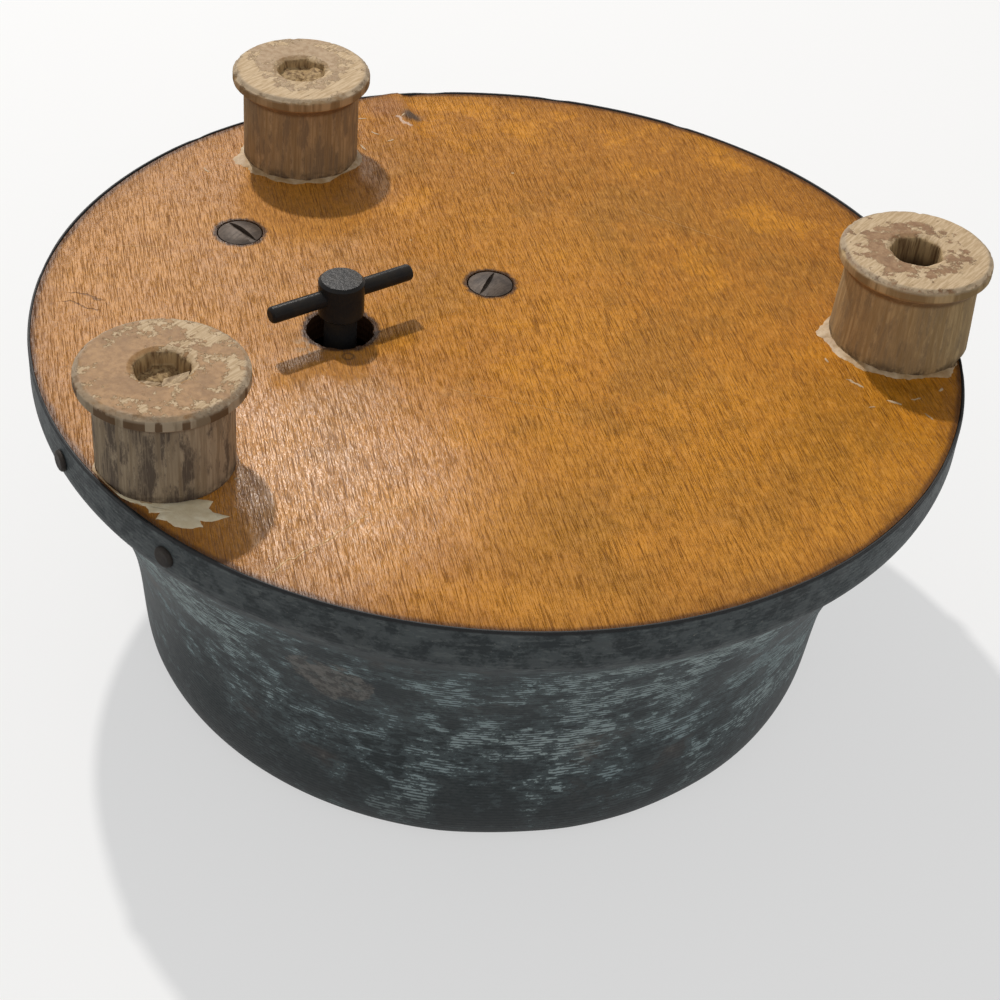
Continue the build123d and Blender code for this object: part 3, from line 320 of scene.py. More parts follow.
def patina():
    """Dark slate skin with broken grey-green flakes that follow the fine lathe lines."""
    k = Look("patina_look")
    depth = k.axis("Z")
    lines = k.noise(1.0, (430, 430, 1250), 4.0, 0.62, distort=0.10)
    blotch = k.noise(150.0, (0.9, 0.9, 1.35), 8.0, 0.74)
    region = k.noise(13.0, (1, 1, 1.5), 2.0, 0.5, shift=(0.02, 0.05, 0.0))
    grit = k.noise(1.0, (900, 900, 1500), 4.0, 0.7, shift=(0.4, 0.2, 0.1))
    soft = k.noise(60.0, (1, 1, 1.2), 5.0, 0.6, shift=(0.31, 0.12, 0.2))
    turns = k.math("MULTIPLY", depth, 2 * math.pi / 0.00074)
    wander = k.math("MULTIPLY", k.noise(150.0, (1, 1, 0.5)), 5.0)
    groove = k.math("SINE", k.math("ADD", turns, wander))
    base = k.mix(k.step(soft, 0.36, 0.66), (0.034, 0.043, 0.045), (0.076, 0.088, 0.090))
    base = k.mix(k.times(k.step(grit, 0.48, 0.54), 0.55), base, (0.026, 0.033, 0.036))
    brown = k.times(k.step(soft, 0.56, 0.68), k.step(blotch, 0.56, 0.46), 0.5)
    base = k.mix(brown, base, (0.088, 0.074, 0.066))
    # cover: where flakes lie, most of them from the shoulder to half way down
    middle = k.band(depth, 0.006, 0.026, 0.0500, 0.0545)
    cover = k.math("ADD", k.math("MULTIPLY", blotch, 0.60), k.math("MULTIPLY", region, 0.34))
    cover = k.math("ADD", cover, k.math("MULTIPLY", middle, 0.042))
    film = k.times(k.step(k.math("ADD", cover, k.math("MULTIPLY", lines, 0.25)), 0.604, 0.616), 0.55)
    colour = k.mix(film, base, (0.130, 0.165, 0.172))
    ridges = k.step(k.math("ADD", lines, k.math("MULTIPLY", groove, 0.085)), 0.490, 0.520)
    flakes = k.times(k.step(cover, 0.517, 0.522), ridges)
    band = k.step(depth, 0.0548, 0.0568)
    flakes = k.times(flakes, k.between(band, 0.95, 0.12))
    pale = k.mix(k.step(region, 0.42, 0.60), (0.370, 0.470, 0.490), (0.520, 0.620, 0.620))
    colour = k.mix(flakes, colour, pale)
    # a bare brownish patch, and rust stains
    patch = k.vector("MULTIPLY", k.from_point(-21.0, -65.5, 39.5), (0.85, 0.85, 1.25))
    ragged = k.sway(k.noise(230.0, detail=6.0, rough=0.66), 0.014)
    patch = k.math("ADD", k.vector("LENGTH", patch, (0, 0, 0)), ragged)
    rust = k.math("MAXIMUM", k.step(patch, 0.0070, 0.0060), k.times(k.step(soft, 0.665, 0.685), 0.6))
    pitted = k.step(k.noise(520.0, detail=5.0, rough=0.7), 0.42, 0.56)
    bare = k.mix(pitted, (0.245, 0.232, 0.212), (0.080, 0.074, 0.068))
    colour = k.mix(k.times(rust, 0.80), colour, bare)
    # band: smoother slate with soft dark blotches and a few pale flecks
    blotches = k.step(k.noise(230.0, (1, 1, 1.3), 7.0, 0.74), 0.42, 0.56)
    slate = k.mix(blotches, (0.034, 0.041, 0.044), (0.098, 0.112, 0.115))
    slate = k.mix(k.times(k.step(lines, 0.56, 0.62), 0.45), slate, (0.180, 0.200, 0.198))
    colour = k.mix(k.times(band, 0.86), colour, slate)
    flecks = k.times(k.step(k.noise(1500.0, detail=3.0, rough=0.6), 0.665, 0.70), k.step(blotch, 0.50, 0.60))
    colour = k.mix(k.times(flecks, 0.55), colour, (0.36, 0.35, 0.31))
    low = k.step(depth, 0.016, 0.004)
    colour = k.mix(k.times(low, 0.60), colour, (0.066, 0.071, 0.072))
    # near black on the rim's top edge, and painted shade on the lowest 3 mm, where the wall turns in to the
    # floor
    edge = k.step(depth, (RIM_Z - 0.75) * MM, (RIM_Z - 0.35) * MM)
    painted_base_shade = k.step(depth, 0.0030, 0.0012)
    colour = k.mix(k.math("MAXIMUM", k.times(edge, 0.92), k.times(painted_base_shade, 0.8)), colour, (0.020, 0.020, 0.021))
    k.set(Base_Color=colour)
    k.set(Roughness=k.math("ADD", 0.50, k.math("ADD", k.times(flakes, 0.24), k.times(grit, 0.12))))
    k.set(Specular_IOR_Level=0.16)
    k.bump(groove, 0.00003, 0.5)
    k.bump(k.math("ADD", k.times(flakes, 0.9), k.times(grit, 0.7)), 0.00012, 0.8)
    k.bump(k.noise(60.0, detail=3.0), 0.0007, 0.35)
    return k.material


def under_top(drop):
    """Height, in metres, of a place that many mm below the feet's tops."""
    return (FOOT_TOP - drop) * MM


def spool_wood(name, foot):
    """Turned wood of one foot: brown varnish on its end face, chipped to bare wood, and a dirty barrel."""
    k = Look(name)
    x, y, flange = foot["x"], foot["y"], foot["flange"]
    local = k.from_point(x, y)
    r = k.radius(local)
    depth = k.axis("Z")
    seed = foot["seed"] * 0.1
    upright = k.noise(1.0, (1500, 1500, 62), 5.0, 0.66, shift=(seed, 0, 0))
    wide = k.noise(1.0, (420, 420, 34), 4.0, 0.6, shift=(0, seed, 0))
    spots = k.noise(400.0, detail=8.0, rough=0.72, shift=(seed, -seed, 0))
    large = k.noise(105.0, detail=4.0, rough=0.55, shift=(-seed, 0.4, 0))
    dark, light = foot["side"]
    bare = k.mix(k.step(upright, 0.34, 0.66), dark, light)
    bare = k.mix(k.times(k.step(wide, 0.50, 0.70), 0.28), bare, tuple(0.62 * c for c in dark))
    # dirt in dark upright streaks, in one or two large areas
    smudge = k.noise(1.0, (360, 360, 120), 7.0, 0.72, shift=(-seed, 0.4, 0))
    area = k.step(smudge, 0.44, 0.58)
    streaks = k.times(k.step(upright, 0.46, 0.55), area, foot["dirt"])
    colour = k.mix(k.times(streaks, 0.85), bare, (0.070, 0.050, 0.038))
    colour = k.mix(k.times(area, foot["dirt"], 0.30), colour, (0.150, 0.118, 0.092))
    # darker blotches near the foot's base
    low = k.step(depth, (BOARD_TOP + 2.6) * MM, (BOARD_TOP + 0.2) * MM)
    colour = k.mix(k.times(low, k.step(spots, 0.38, 0.60), 0.80), colour, (0.050, 0.034, 0.026))
    # painted shade under the flange, in the cove
    painted_cove_shade = k.band(depth, under_top(4.9), under_top(3.9), under_top(3.0), under_top(2.5))
    colour = k.mix(k.times(painted_cove_shade, 0.55), colour, (0.120, 0.072, 0.040))
    # the flange's edge: dull wood with varnish left in upright stripes
    edge = k.band(depth, under_top(2.6), under_top(2.4), under_top(0.75), under_top(0.35))
    edge_wood = k.mix(k.step(wide, 0.42, 0.58), tuple(0.9 * c for c in dark), light)
    stripes = k.step(k.noise(1.0, (400, 400, 3), 1.0, 0.5, shift=(0.1, 0.3 + seed, 0)), 0.495, 0.505)
    edge_wood = k.mix(k.times(stripes, foot["stripes"]), edge_wood, (0.130, 0.072, 0.034))
    colour = k.mix(edge, colour, edge_wood)
    # the flange's top corner: worn pale, which also stands in for the edge's highlight
    corner = k.step(r, (flange - 1.2) * MM, (flange - 0.7) * MM)
    rubbed_and_highlit = k.times(corner, k.step(depth, under_top(1.15), under_top(0.7)))
    # end face: varnish with chips, most of them in a ring by the edge
    top = k.step(depth, under_top(0.75), under_top(0.45))
    outer_ring = k.band(r, 0.62 * flange * MM, 0.78 * flange * MM, 0.90 * flange * MM, 1.02 * flange * MM)
    inner_ring = k.step(r, 6.0 * MM, 4.9 * MM)
    side = k.vector("DOT_PRODUCT", local, (*foot["chip_side"], 0.0))
    chip = k.math("ADD", k.math("MULTIPLY", spots, 0.62), k.math("MULTIPLY", large, 0.34))
    chip = k.math("ADD", chip, k.math("MULTIPLY", outer_ring, foot["pale_rim"]))
    chip = k.math("ADD", chip, k.math("MULTIPLY", inner_ring, 0.040))
    chip = k.math("SUBTRACT", chip, k.math("MULTIPLY", k.step(r, 8.6 * MM, 7.6 * MM), foot["ring"]))
    chip = k.math("ADD", chip, k.math("MULTIPLY", side, 5.0))
    chipped = k.step(chip, foot["chips"], foot["chips"] + 0.016)
    varnish_dark, varnish_light = foot["face"]
    varnish = k.mix(k.step(k.noise(900.0, detail=6.0, rough=0.66), 0.36, 0.64), varnish_dark, varnish_light)
    stains = k.step(k.noise(160.0, detail=4.0, shift=(seed, 0, 0)), 0.48, 0.64)
    varnish = k.mix(k.times(stains, 0.4), varnish, tuple(0.72 * c for c in varnish_dark))
    end_grain = k.step(k.noise(1.0, (2300, 260, 60), 4.0, 0.6, 35.0), 0.38, 0.62)
    wood = k.mix(end_grain, (0.50, 0.355, 0.205), (0.66, 0.50, 0.32))
    end = k.mix(chipped, varnish, wood)
    rim_grey = k.times(k.step(r, (flange - 1.5) * MM, (flange - 0.5) * MM), k.step(large, 0.40, 0.55))
    end = k.mix(k.times(rim_grey, 0.55), end, (0.250, 0.205, 0.155))
    colour = k.mix(top, colour, end)
    # pale worn corner, also a painted highlight on the edge
    colour = k.mix(k.times(rubbed_and_highlit, k.step(spots, 0.40, 0.52), 0.55), colour, (0.520, 0.410, 0.285))
    # bore: upright fibres, with painted shade deeper down
    bore = k.times(k.step(r, 0.0049, 0.0046), k.step(depth, under_top(0.1), under_top(0.8)))
    threads = k.step(k.noise(1.0, (1300, 1300, 90), 4.0, 0.66), 0.36, 0.62)
    fibres = k.mix(threads, (0.170, 0.100, 0.046), (0.500, 0.350, 0.180))
    fibres = k.mix(k.step(depth, under_top(3.0), under_top(6.0)), fibres, (0.100, 0.062, 0.034))
    colour = k.mix(bore, colour, fibres)
    k.set(Base_Color=colour)
    varnished = k.times(top, k.math("SUBTRACT", 1.0, chipped))
    k.set(Roughness=k.between(varnished, 0.74, 0.50), Specular_IOR_Level=0.13)
    k.bump(k.math("ADD", k.times(upright, 0.7), k.times(spots, 0.4)), 0.00022, 0.7)
    k.bump(k.math("SUBTRACT", 1.0, k.times(chipped, top)), 0.00012, 0.8)
    return k.material


def metal(name, colour, dark, rough, scratch=0.5, metallic=1.0, grain=900.0, bump=0.00003,
          turn=20.0, specular=0.5):
    """Metal with darker spots and fine scratches; metallic 0 gives a blacked or painted one."""
    k = Look(name)
    spots = k.noise(220.0, detail=6.0, rough=0.65)
    lines = k.noise(1.0, (grain * 3.5, grain * 0.12, grain), 3.0, 0.6, turn)
    fine = k.noise(grain, detail=4.0, rough=0.6)
    tone = k.mix(k.step(spots, 0.38, 0.72), colour, dark)
    tone = k.mix(k.times(k.step(lines, 0.48, 0.72), scratch), tone, dark)
    k.set(Base_Color=tone, Metallic=metallic, Specular_IOR_Level=specular)
    wear = k.math("ADD", spots, k.times(lines, 0.6))
    k.set(Roughness=k.math("ADD", rough - 0.06, k.math("MULTIPLY", wear, 0.14)))
    k.bump(k.math("ADD", fine, k.times(lines, scratch)), bump, 0.7)
    return k.material


def felt():
    k = Look("felt_look")
    fibre = k.noise(2400.0, detail=5.0, rough=0.7)
    k.set(Base_Color=k.mix(k.step(fibre, 0.35, 0.7), (0.16, 0.03, 0.03), (0.32, 0.07, 0.06)), Roughness=0.95)
    k.bump(fibre, 0.0002, 0.9)
    return k.material


def glue_look(name, low, high):
    """Lumpy dried glue between two tones, with brown dirt."""
    k = Look(name)
    lumps = k.noise(420.0, detail=5.0, rough=0.6)
    dirt = k.step(k.noise(260.0, detail=5.0, rough=0.65, shift=(0.2, 0, 0)), 0.56, 0.74)
    colour = k.mix(k.step(lumps, 0.35, 0.7), low, high)
    k.set(Base_Color=k.mix(k.times(dirt, 0.55), colour, (0.34, 0.22, 0.11)))
    k.set(Roughness=k.math("ADD", 0.42, k.times(lumps, 0.3)), Specular_IOR_Level=0.30)
    k.bump(lumps, 0.0003, 0.8)
    return k.material


board_look = wood_board()
patina_look = patina()
glue = glue_look("dried_glue_look", (0.80, 0.68, 0.45), (0.95, 0.86, 0.64))
thin_glue = glue_look("thin_glue_look", (0.42, 0.27, 0.13), (0.66, 0.50, 0.32))
black_oxide = metal(
    "black_oxide_look", (0.020, 0.020, 0.021), (0.034, 0.029, 0.023),
    0.24, 0.4, 0.0, 1200.0, 0.00005, specular=0.05)
gunmetal = metal(
    "gunmetal_look", (0.100, 0.074, 0.056), (0.026, 0.018, 0.014),
    0.50, 0.6, 0.15, 1100.0, 0.00010, 35.0, specular=0.15)
looks = {
    "dark_iron": metal(
        "dark_iron_look", (0.042, 0.034, 0.028), (0.012, 0.011, 0.011),
        0.60, 0.4, 0.3, 1500.0, 0.00012, specular=0.25),
    "gunmetal_screw": gunmetal,
    "blacked_steel": black_oxide,
    "bright_steel": metal("bright_steel_look", (0.52, 0.52, 0.51), (0.26, 0.25, 0.24), 0.32, 0.5),
    "spring_steel": metal("spring_steel_look", (0.24, 0.26, 0.31), (0.10, 0.11, 0.14), 0.30, 0.5),
    "disc_steel": metal("disc_steel_look", (0.46, 0.44, 0.41), (0.37, 0.345, 0.315), 0.36, 0.5, grain=700.0),
    "nickelled_steel": metal("nickelled_steel_look", (0.55, 0.53, 0.49), (0.32, 0.29, 0.25), 0.28, 0.4),
    "black_casting": metal(
        "black_casting_look", (0.020, 0.020, 0.020), (0.010, 0.010, 0.010),
        0.42, 0.2, 0.0, 700.0, 0.00015),
    "brass": metal("brass_look", (0.56, 0.40, 0.16), (0.28, 0.17, 0.06), 0.30, 0.5),
    "felt": felt(),
    "varnished_plywood": board_look,
}


# ---------------- mesh tools ----------------
def mesh_piece(name, points, faces, look, body="case", smooth=True):
    """Mesh object from points in mm; it moves with the named body."""
    data = bpy.data.meshes.new(name)
    data.from_pydata([tuple(c * MM for c in p) for p in points], [], faces)
    data.validate()
    data.materials.append(look)
    if smooth:
        for polygon in data.polygons:
            polygon.use_smooth = True
    piece = bpy.data.objects.new(name, data)
    bpy.context.scene.collection.objects.link(piece)
    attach(piece, body)
    return piece


def revolved(profile, segments, shape):
    """Closed profile turned about the Z axis. shape(r, z, angle) gives each final point."""
    count = len(profile)
    points = []
    for s in range(segments):
        angle = 2 * math.pi * s / segments
        points += [shape(r, z, angle) for r, z in profile]
    faces = []
    for s in range(segments):
        following = (s + 1) % segments
        for i in range(count):
            j = (i + 1) % count
            faces.append((s * count + i, following * count + i, following * count + j, s * count + j))
    return points, faces


def wave(x, y, z, scale, seed=0.0):
    """Smooth noise about 0. A larger scale gives smaller lumps."""
    return noise.noise(Vector((x * scale + seed, y * scale - seed * 0.7, z * scale + seed * 0.3)))


def rounded(corners, radii, steps=6):
    """Outline through corners with an arc of the given radius at each inner corner."""
    out = [corners[0]]
    for i in range(1, len(corners) - 1):
        a, b, c = (Vector(corners[i - 1]), Vector(corners[i]), Vector(corners[i + 1]))
        u = (a - b).normalized()
        v = (c - b).normalized()
        half = u.angle(v) / 2
        reach = radii[i - 1] / math.tan(half)
        reach = min(reach, (a - b).length * 0.49, (c - b).length * 0.49)
        start = b + u * reach
        end = b + v * reach
        for s in range(steps + 1):
            t = s / steps
            point = start * (1 - t) ** 2 + b * 2 * t * (1 - t) + end * t ** 2
            out.append((point.x, point.y))
    out.append(corners[-1])
    return out


def resampled(points, spacing):
    """The same line with points about spacing apart."""
    out = []
    for a, b in zip(points, points[1:]):
        steps = max(1, int(math.hypot(b[0] - a[0], b[1] - a[1]) / spacing))
        out += [(a[0] + (b[0] - a[0]) * s / steps, a[1] + (b[1] - a[1]) * s / steps) for s in range(steps)]
    return out + [points[-1]]


# ---------------- case ----------------
CASE_OUTLINE = [
    # radius and height, from the rim down to the turned-in lip
    (79.35, RIM_Z - 0.5), (79.6, RIM_Z), (79.92, RIM_Z - 0.4), (79.95, 61.0), (79.9, 58.4),
    (79.2, 56.6), (77.3, 54.2), (75.1, 51.6), (73.5, 49.0), (71.8, 45.0), (70.1, 41.0),
    (68.6, 37.0), (67.2, 33.0), (66.0, 29.0), (65.05, 25.0), (64.4, 21.0), (63.95, 17.0),
    (63.6, 13.0), (63.3, 9.0), (62.9, 5.4), (62.1, 2.6), (61.0, 0.9), (59.6, 0.1),
    (58.6, 0.35), (58.3, 1.2), (58.3, 3.0),
]


def make_case():
    """Case wall turned from a smooth curve through the outline, with dents and nicks."""
    curve = []
    count = len(CASE_OUTLINE)
    for i in range(count - 1):
        p0, p1, p2, p3 = (Vector(CASE_OUTLINE[max(0, min(count - 1, i + d))]) for d in (-1, 0, 1, 2))
        for s in range(6):
            t = s / 6
            square = (2 * p0 - 5 * p1 + 4 * p2 - p3) * t * t
            cube = (3 * p1 - p0 - 3 * p2 + p3) * t ** 3
            point = 0.5 * (2 * p1 + (p2 - p0) * t + square + cube)
            curve.append((point.x, point.y))
    curve.append(CASE_OUTLINE[-1])
    inner = []
    for i, (r, z) in enumerate(curve):
        before, after = curve[max(0, i - 1)], curve[min(len(curve) - 1, i + 1)]
        dr, dz = after[0] - before[0], after[1] - before[1]
        length = math.hypot(dr, dz) or 1.0
        inner.append((r + dz / length * SHEET, z - dr / length * SHEET))
    profile = curve + [p for p in reversed(inner[4:])]

    def shape(r, z, angle):
        x, y = math.cos(angle), math.sin(angle)
        dent = max(0.0, wave(x * 60, y * 60, z, 0.045, 3.1)) * 0.55
        dent += max(0.0, wave(x * 60, y * 60, z, 0.016, 8.2)) * 0.5
        nick = max(0.0, wave(x * 80, y * 80, 0, 0.16, 5.0) - 0.25) * 0.9 if z > RIM_Z - 1.6 else 0.0
        r = min(r, CASE_REACH) - dent
        return (r * x, r * y, min(max(z - nick, 0.0), RIM_Z))

    points, faces = revolved(profile, 400, shape)
    case = mesh_piece("case_dressed", points, faces, patina_look)
    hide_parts("case_shell")


make_case()


# ---------------- veneer face of the board ----------------
def veneer_height(x, y):
    """Waviness, the lifted fold by the far rim and the bruise beside it."""
    h = 0.08 + 0.05 * wave(x, y, 0, 0.06, 1.0) + 0.018 * wave(x, y, 0, 0.4, 4.0)
    # fold: long slope on the left, steep on the right, running in from the rim
    ax, ay, bx, by = -25.5, 77.5, -18.8, 59.5
    length = math.hypot(bx - ax, by - ay)
    ux, uy = (bx - ax) / length, (by - ay) / length
    t = ((x - ax) * ux + (y - ay) * uy) / length
    s = (x - ax) * -uy + (y - ay) * ux
    if -0.3 < t < 1.3:
        along = math.exp(-((t - 0.42) / 0.42) ** 2)
        side = math.exp(-(s / 1.1) ** 2) if s > 0 else math.exp(-(s / 5.0) ** 2)
        h += 1.15 * along * side
        h -= 0.30 * along * math.exp(-((s - 2.6) / 1.2) ** 2)
    for px, py, reach, lift in ((-30.5, 62.5, 3.0, 0.35), (-34.0, 66.5, 3.5, 0.3), (-27.5, 57.5, 1.6, 0.25)):
        h += lift * math.exp(-((x - px) ** 2 + (y - py) ** 2) / reach ** 2)
    crack = ((x + 30.6) * 0.6438 + (y + 71.9) * 0.7652, -(x + 30.6) * 0.7652 + (y + 71.9) * 0.6438)
    if 0 < crack[0] < 22:
        h += 0.16 * math.exp(-((crack[1] - 0.5) / 0.8) ** 2)
    return h


def make_veneer():
    """The board's face: one sheet with three holes, laid over the board."""
    rim = VENEER_RADIUS
    angles = [2 * math.pi * i / 360 for i in range(360)]
    loops = [[(rim * math.cos(a), rim * math.sin(a)) for a in angles]]
    # x, y, radius and raggedness
    holes = [(*KEY_AXIS, KEY_HOLE_RADIUS, 0.50), (*SCREWS[0], SCREW_HOLE_RADIUS, 0.12),
             (*SCREWS[1], SCREW_HOLE_RADIUS, 0.14)]
    for cx, cy, r, rag in holes:
        ring = []
        for i in range(72):
            a = 2 * math.pi * i / 72
            x, y = math.cos(a), math.sin(a)
            rr = r + rag * wave(x * 6, y * 6, 0, 0.9, cx) + rag * 0.5 * wave(x * 6, y * 6, 0, 2.4, cy)
            ring.append((cx + rr * x, cy + rr * y))
        loops.append(ring)
    points, edges = [], []
    for loop in loops:
        start = len(points)
        points += loop
        edges += [(start + i, start + (i + 1) % len(loop)) for i in range(len(loop))]
    # a coarse grid all over; the odd thousandths keep the two grids' points apart
    pitch = 1.0
    steps = int(rim / pitch)
    for i in range(-steps, steps + 1):
        for j in range(-steps, steps + 1):
            x, y = i * pitch + 0.013, j * pitch + 0.021
            if math.hypot(x, y) > rim - 0.5:
                continue
            if any(math.hypot(x - cx, y - cy) < r + 0.7 for cx, cy, r, _ in holes):
                continue
            points.append((x, y))
    # a finer one over the fold
    fine = 0.35
    left, near, wide, deep = -36, 54, 20, 24
    for i in range(int(wide / fine)):
        for j in range(int(deep / fine)):
            x, y = left + i * fine * 1.1 + 0.007, near + j * fine + 0.003
            if math.hypot(x, y) < rim - 0.5:
                points.append((x, y))
    found = delaunay_2d_cdt([Vector(p) for p in points], edges, [], 0, 1e-5)
    flat, triangles = found[0], found[2]
    kept = []
    for face in triangles:
        cx = sum(flat[v].x for v in face) / len(face)
        cy = sum(flat[v].y for v in face) / len(face)
        if math.hypot(cx, cy) > rim:
            continue
        inside = False
        for loop in loops[1:]:
            mx = sum(p[0] for p in loop) / len(loop)
            my = sum(p[1] for p in loop) / len(loop)
            a = math.atan2(cy - my, cx - mx) / (2 * math.pi) * len(loop)
            edge = loop[int(round(a)) % len(loop)]
            if math.hypot(cx - mx, cy - my) < math.hypot(edge[0] - mx, edge[1] - my) - 0.02:
                inside = True
        if not inside:
            kept.append(tuple(face))
    solid = [(p.x, p.y, BOARD_TOP + veneer_height(p.x, p.y)) for p in flat]
    mesh_piece("veneer_face", solid, kept, board_look)


make_veneer()


# ---------------- feet ----------------
FEET = (
    # radii and the bore's depth in mm; face and side are dark and light tones; a higher value of chips
    # and of ring leaves more varnish, all over and round the bore, and pale_rim leaves less by the edge
    {"node": "foot_front_left", "x": -49.62, "y": -47.01, "seed": 1.7,
     "flange": 13.4, "neck": 10.9, "base": 10.9, "bore": 3.5, "dirt": 1.0,
     "face": ((0.320, 0.176, 0.074), (0.440, 0.255, 0.115)),
     "side": ((0.290, 0.215, 0.135), (0.470, 0.370, 0.255)),
     "chips": 0.540, "chip_side": (0.5, 0.3), "ring": 0.0, "pale_rim": 0.050, "stripes": 0.9},
    {"node": "foot_back_left", "x": -40.80, "y": 49.80, "seed": 4.2,
     "flange": 12.8, "neck": 10.8, "base": 10.8, "bore": 2.3, "dirt": 0.55,
     "face": ((0.340, 0.215, 0.110), (0.460, 0.325, 0.190)),
     "side": ((0.330, 0.210, 0.100), (0.510, 0.345, 0.185)),
     "chips": 0.505, "chip_side": (0.1, -0.9), "ring": 0.0, "pale_rim": 0.080, "stripes": 0.15},
    {"node": "foot_right", "x": 69.28, "y": 4.88, "seed": 7.9,
     "flange": 13.1, "neck": 11.4, "base": 12.1, "bore": 7.6, "dirt": 0.45,
     "face": ((0.270, 0.150, 0.075), (0.390, 0.240, 0.130)),
     "side": ((0.380, 0.255, 0.120), (0.560, 0.400, 0.210)),
     "chips": 0.500, "chip_side": (0.6, -0.2), "ring": 0.015, "pale_rim": 0.110, "stripes": 0.1},
)


def make_foot(foot):
    """Half spool with worn edges and a broken-out bore."""
    cx, cy, seed = foot["x"], foot["y"], foot["seed"]
    flange, neck, base, bore = foot["flange"], foot["neck"], foot["base"], foot["bore"]
    top = FOOT_TOP
    outline = rounded(
        [(base, BOARD_TOP), (neck, top - 4.3), (neck + 0.5, top - 3.6), (flange - 0.25, top - 2.45),
         (flange, top - 2.2), (flange, top - 0.75), (flange - 0.8, top - 0.02), (5.0, top - 0.02),
         (4.5, top - 0.5), (BORE_RADIUS, top - bore)],
        [0.6, 0.3, 0.2, 0.2, 0.5, 0.5, 0.3, 0.3], 4)
    outline = resampled(outline, 0.5)
    floor = [(BORE_RADIUS * (1 - t), top - bore - 0.5 * t) for t in (0.25, 0.5, 0.75, 0.97)]
    profile = [(0.12, BOARD_TOP)] + outline + floor

    def shape(r, z, angle):
        x, y = math.cos(angle), math.sin(angle)
        lump = wave(x * r, y * r, z * 0.25, 0.55, seed)
        fibre = wave(x * r, y * r, z * 0.05, 2.2, seed + 3)
        out = r
        if r > 6.5:
            out = r - 0.04 - 0.06 * abs(lump) - 0.03 * abs(fibre)
            corner = math.exp(-((z - (top - 0.5)) / 0.6) ** 2) if r > flange - 1.4 else 0.0
            chip = max(0.0, wave(x * r, y * r, z, 0.9, seed + 9) - 0.26)
            out -= corner * chip * 0.9
            z -= corner * chip * 0.35
        elif r > 0.5:
            # the bore is broken out to a rough polygon
            facet = 0.42 * abs(math.sin(3.5 * angle + seed)) + 0.30 * wave(x * 4, y * 4, 0, 0.8, seed + 5)
            depth = min(1.0, max(0.0, (top - z) / 0.8))
            out = r * (1 + 0.05 * (1 - depth)) - facet * depth * 0.8 * (r / 4.4)
            if z < top - bore + 0.3:
                z += 1.2 * max(0.0, wave(x * 5, y * 5, 0, 0.35, seed + 7)) * (r / 4.4)
                z += 0.4 * abs(math.sin(angle * 1.5 + seed))
        if z > top - 0.4:
            z -= 0.04 * abs(lump) + 0.02
        px, py = cx + out * x, cy + out * y
        reach = math.hypot(px, py)
        if z < RIM_Z + 0.3 and reach > FOOT_REACH:
            px, py = px * FOOT_REACH / reach, py * FOOT_REACH / reach
        return (px, py, z)

    points, faces = revolved(profile, 168, shape)
    look = spool_wood(foot["node"] + "_look", foot)
    piece = mesh_piece(foot["node"] + "_dressed", points, faces, look)
    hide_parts(foot["node"])


def split_wood(foot, start, end, drop, look):
    """Sector of torn wood left in a bore, between two angles in degrees, sloping down to the middle."""
    reach = BORE_RADIUS - 0.1
    points = [(foot["x"] + 0.25, foot["y"] - 0.15, FOOT_TOP - drop - 0.9)]
    steps = 14
    for ring, level in ((0.55, 0.35), (1.0, 0.0)):
        for i in range(steps + 1):
            a = math.radians(start + (end - start) * i / steps)
            ragged = 1 + 0.05 * math.sin(5.1 * i + ring)
            z = FOOT_TOP - drop - level - 0.25 * wave(i, ring * 3, 0, 0.7, foot["seed"])
            r = reach * ring * ragged
            points.append((foot["x"] + r * math.cos(a), foot["y"] + r * math.sin(a), z))
    count = steps + 1
    faces = [(0, 1 + i, 2 + i) for i in range(steps)]
    faces += [(1 + i, 1 + count + i, 2 + count + i, 2 + i) for i in range(steps)]
    base = len(points)
    rim = [0] + [1 + count + i for i in range(count)]
    points += [(points[i][0], points[i][1], FOOT_TOP - foot["bore"] - 0.4) for i in rim]
    faces += [(rim[i], base + i, base + (i + 1) % len(rim), rim[(i + 1) % len(rim)]) for i in range(len(rim))]
    mesh_piece(foot["node"] + f"_split_{start % 360}", points, faces, look, smooth=False)


def torn_wood():
    """Pale broken end grain in the bores."""
    k = Look("torn_wood_look")
    grain = k.noise(1.0, (1500, 260, 300), 5.0, 0.68, 28.0)
    k.set(Base_Color=k.mix(k.step(grain, 0.34, 0.64), (0.235, 0.150, 0.075), (0.560, 0.410, 0.240)))
    k.set(Roughness=0.8)
    k.bump(grain, 0.0002, 0.8)
    return k.material


torn_wood_and_glint = torn_wood()
for foot in FEET:
    make_foot(foot)
split_wood(FEET[0], -82, 14, 1.3, torn_wood_and_glint)
split_wood(FEET[0], 196, 262, 2.2, torn_wood_and_glint)


# ---------------- dried glue ----------------
def on_board(x, y, lift):
    """Point on the veneer, kept inside the rim."""
    distance = math.hypot(x, y)
    if distance > GLUE_REACH:
        x, y = x * GLUE_REACH / distance, y * GLUE_REACH / distance
    return (x, y, BOARD_TOP + veneer_height(x, y) + lift)


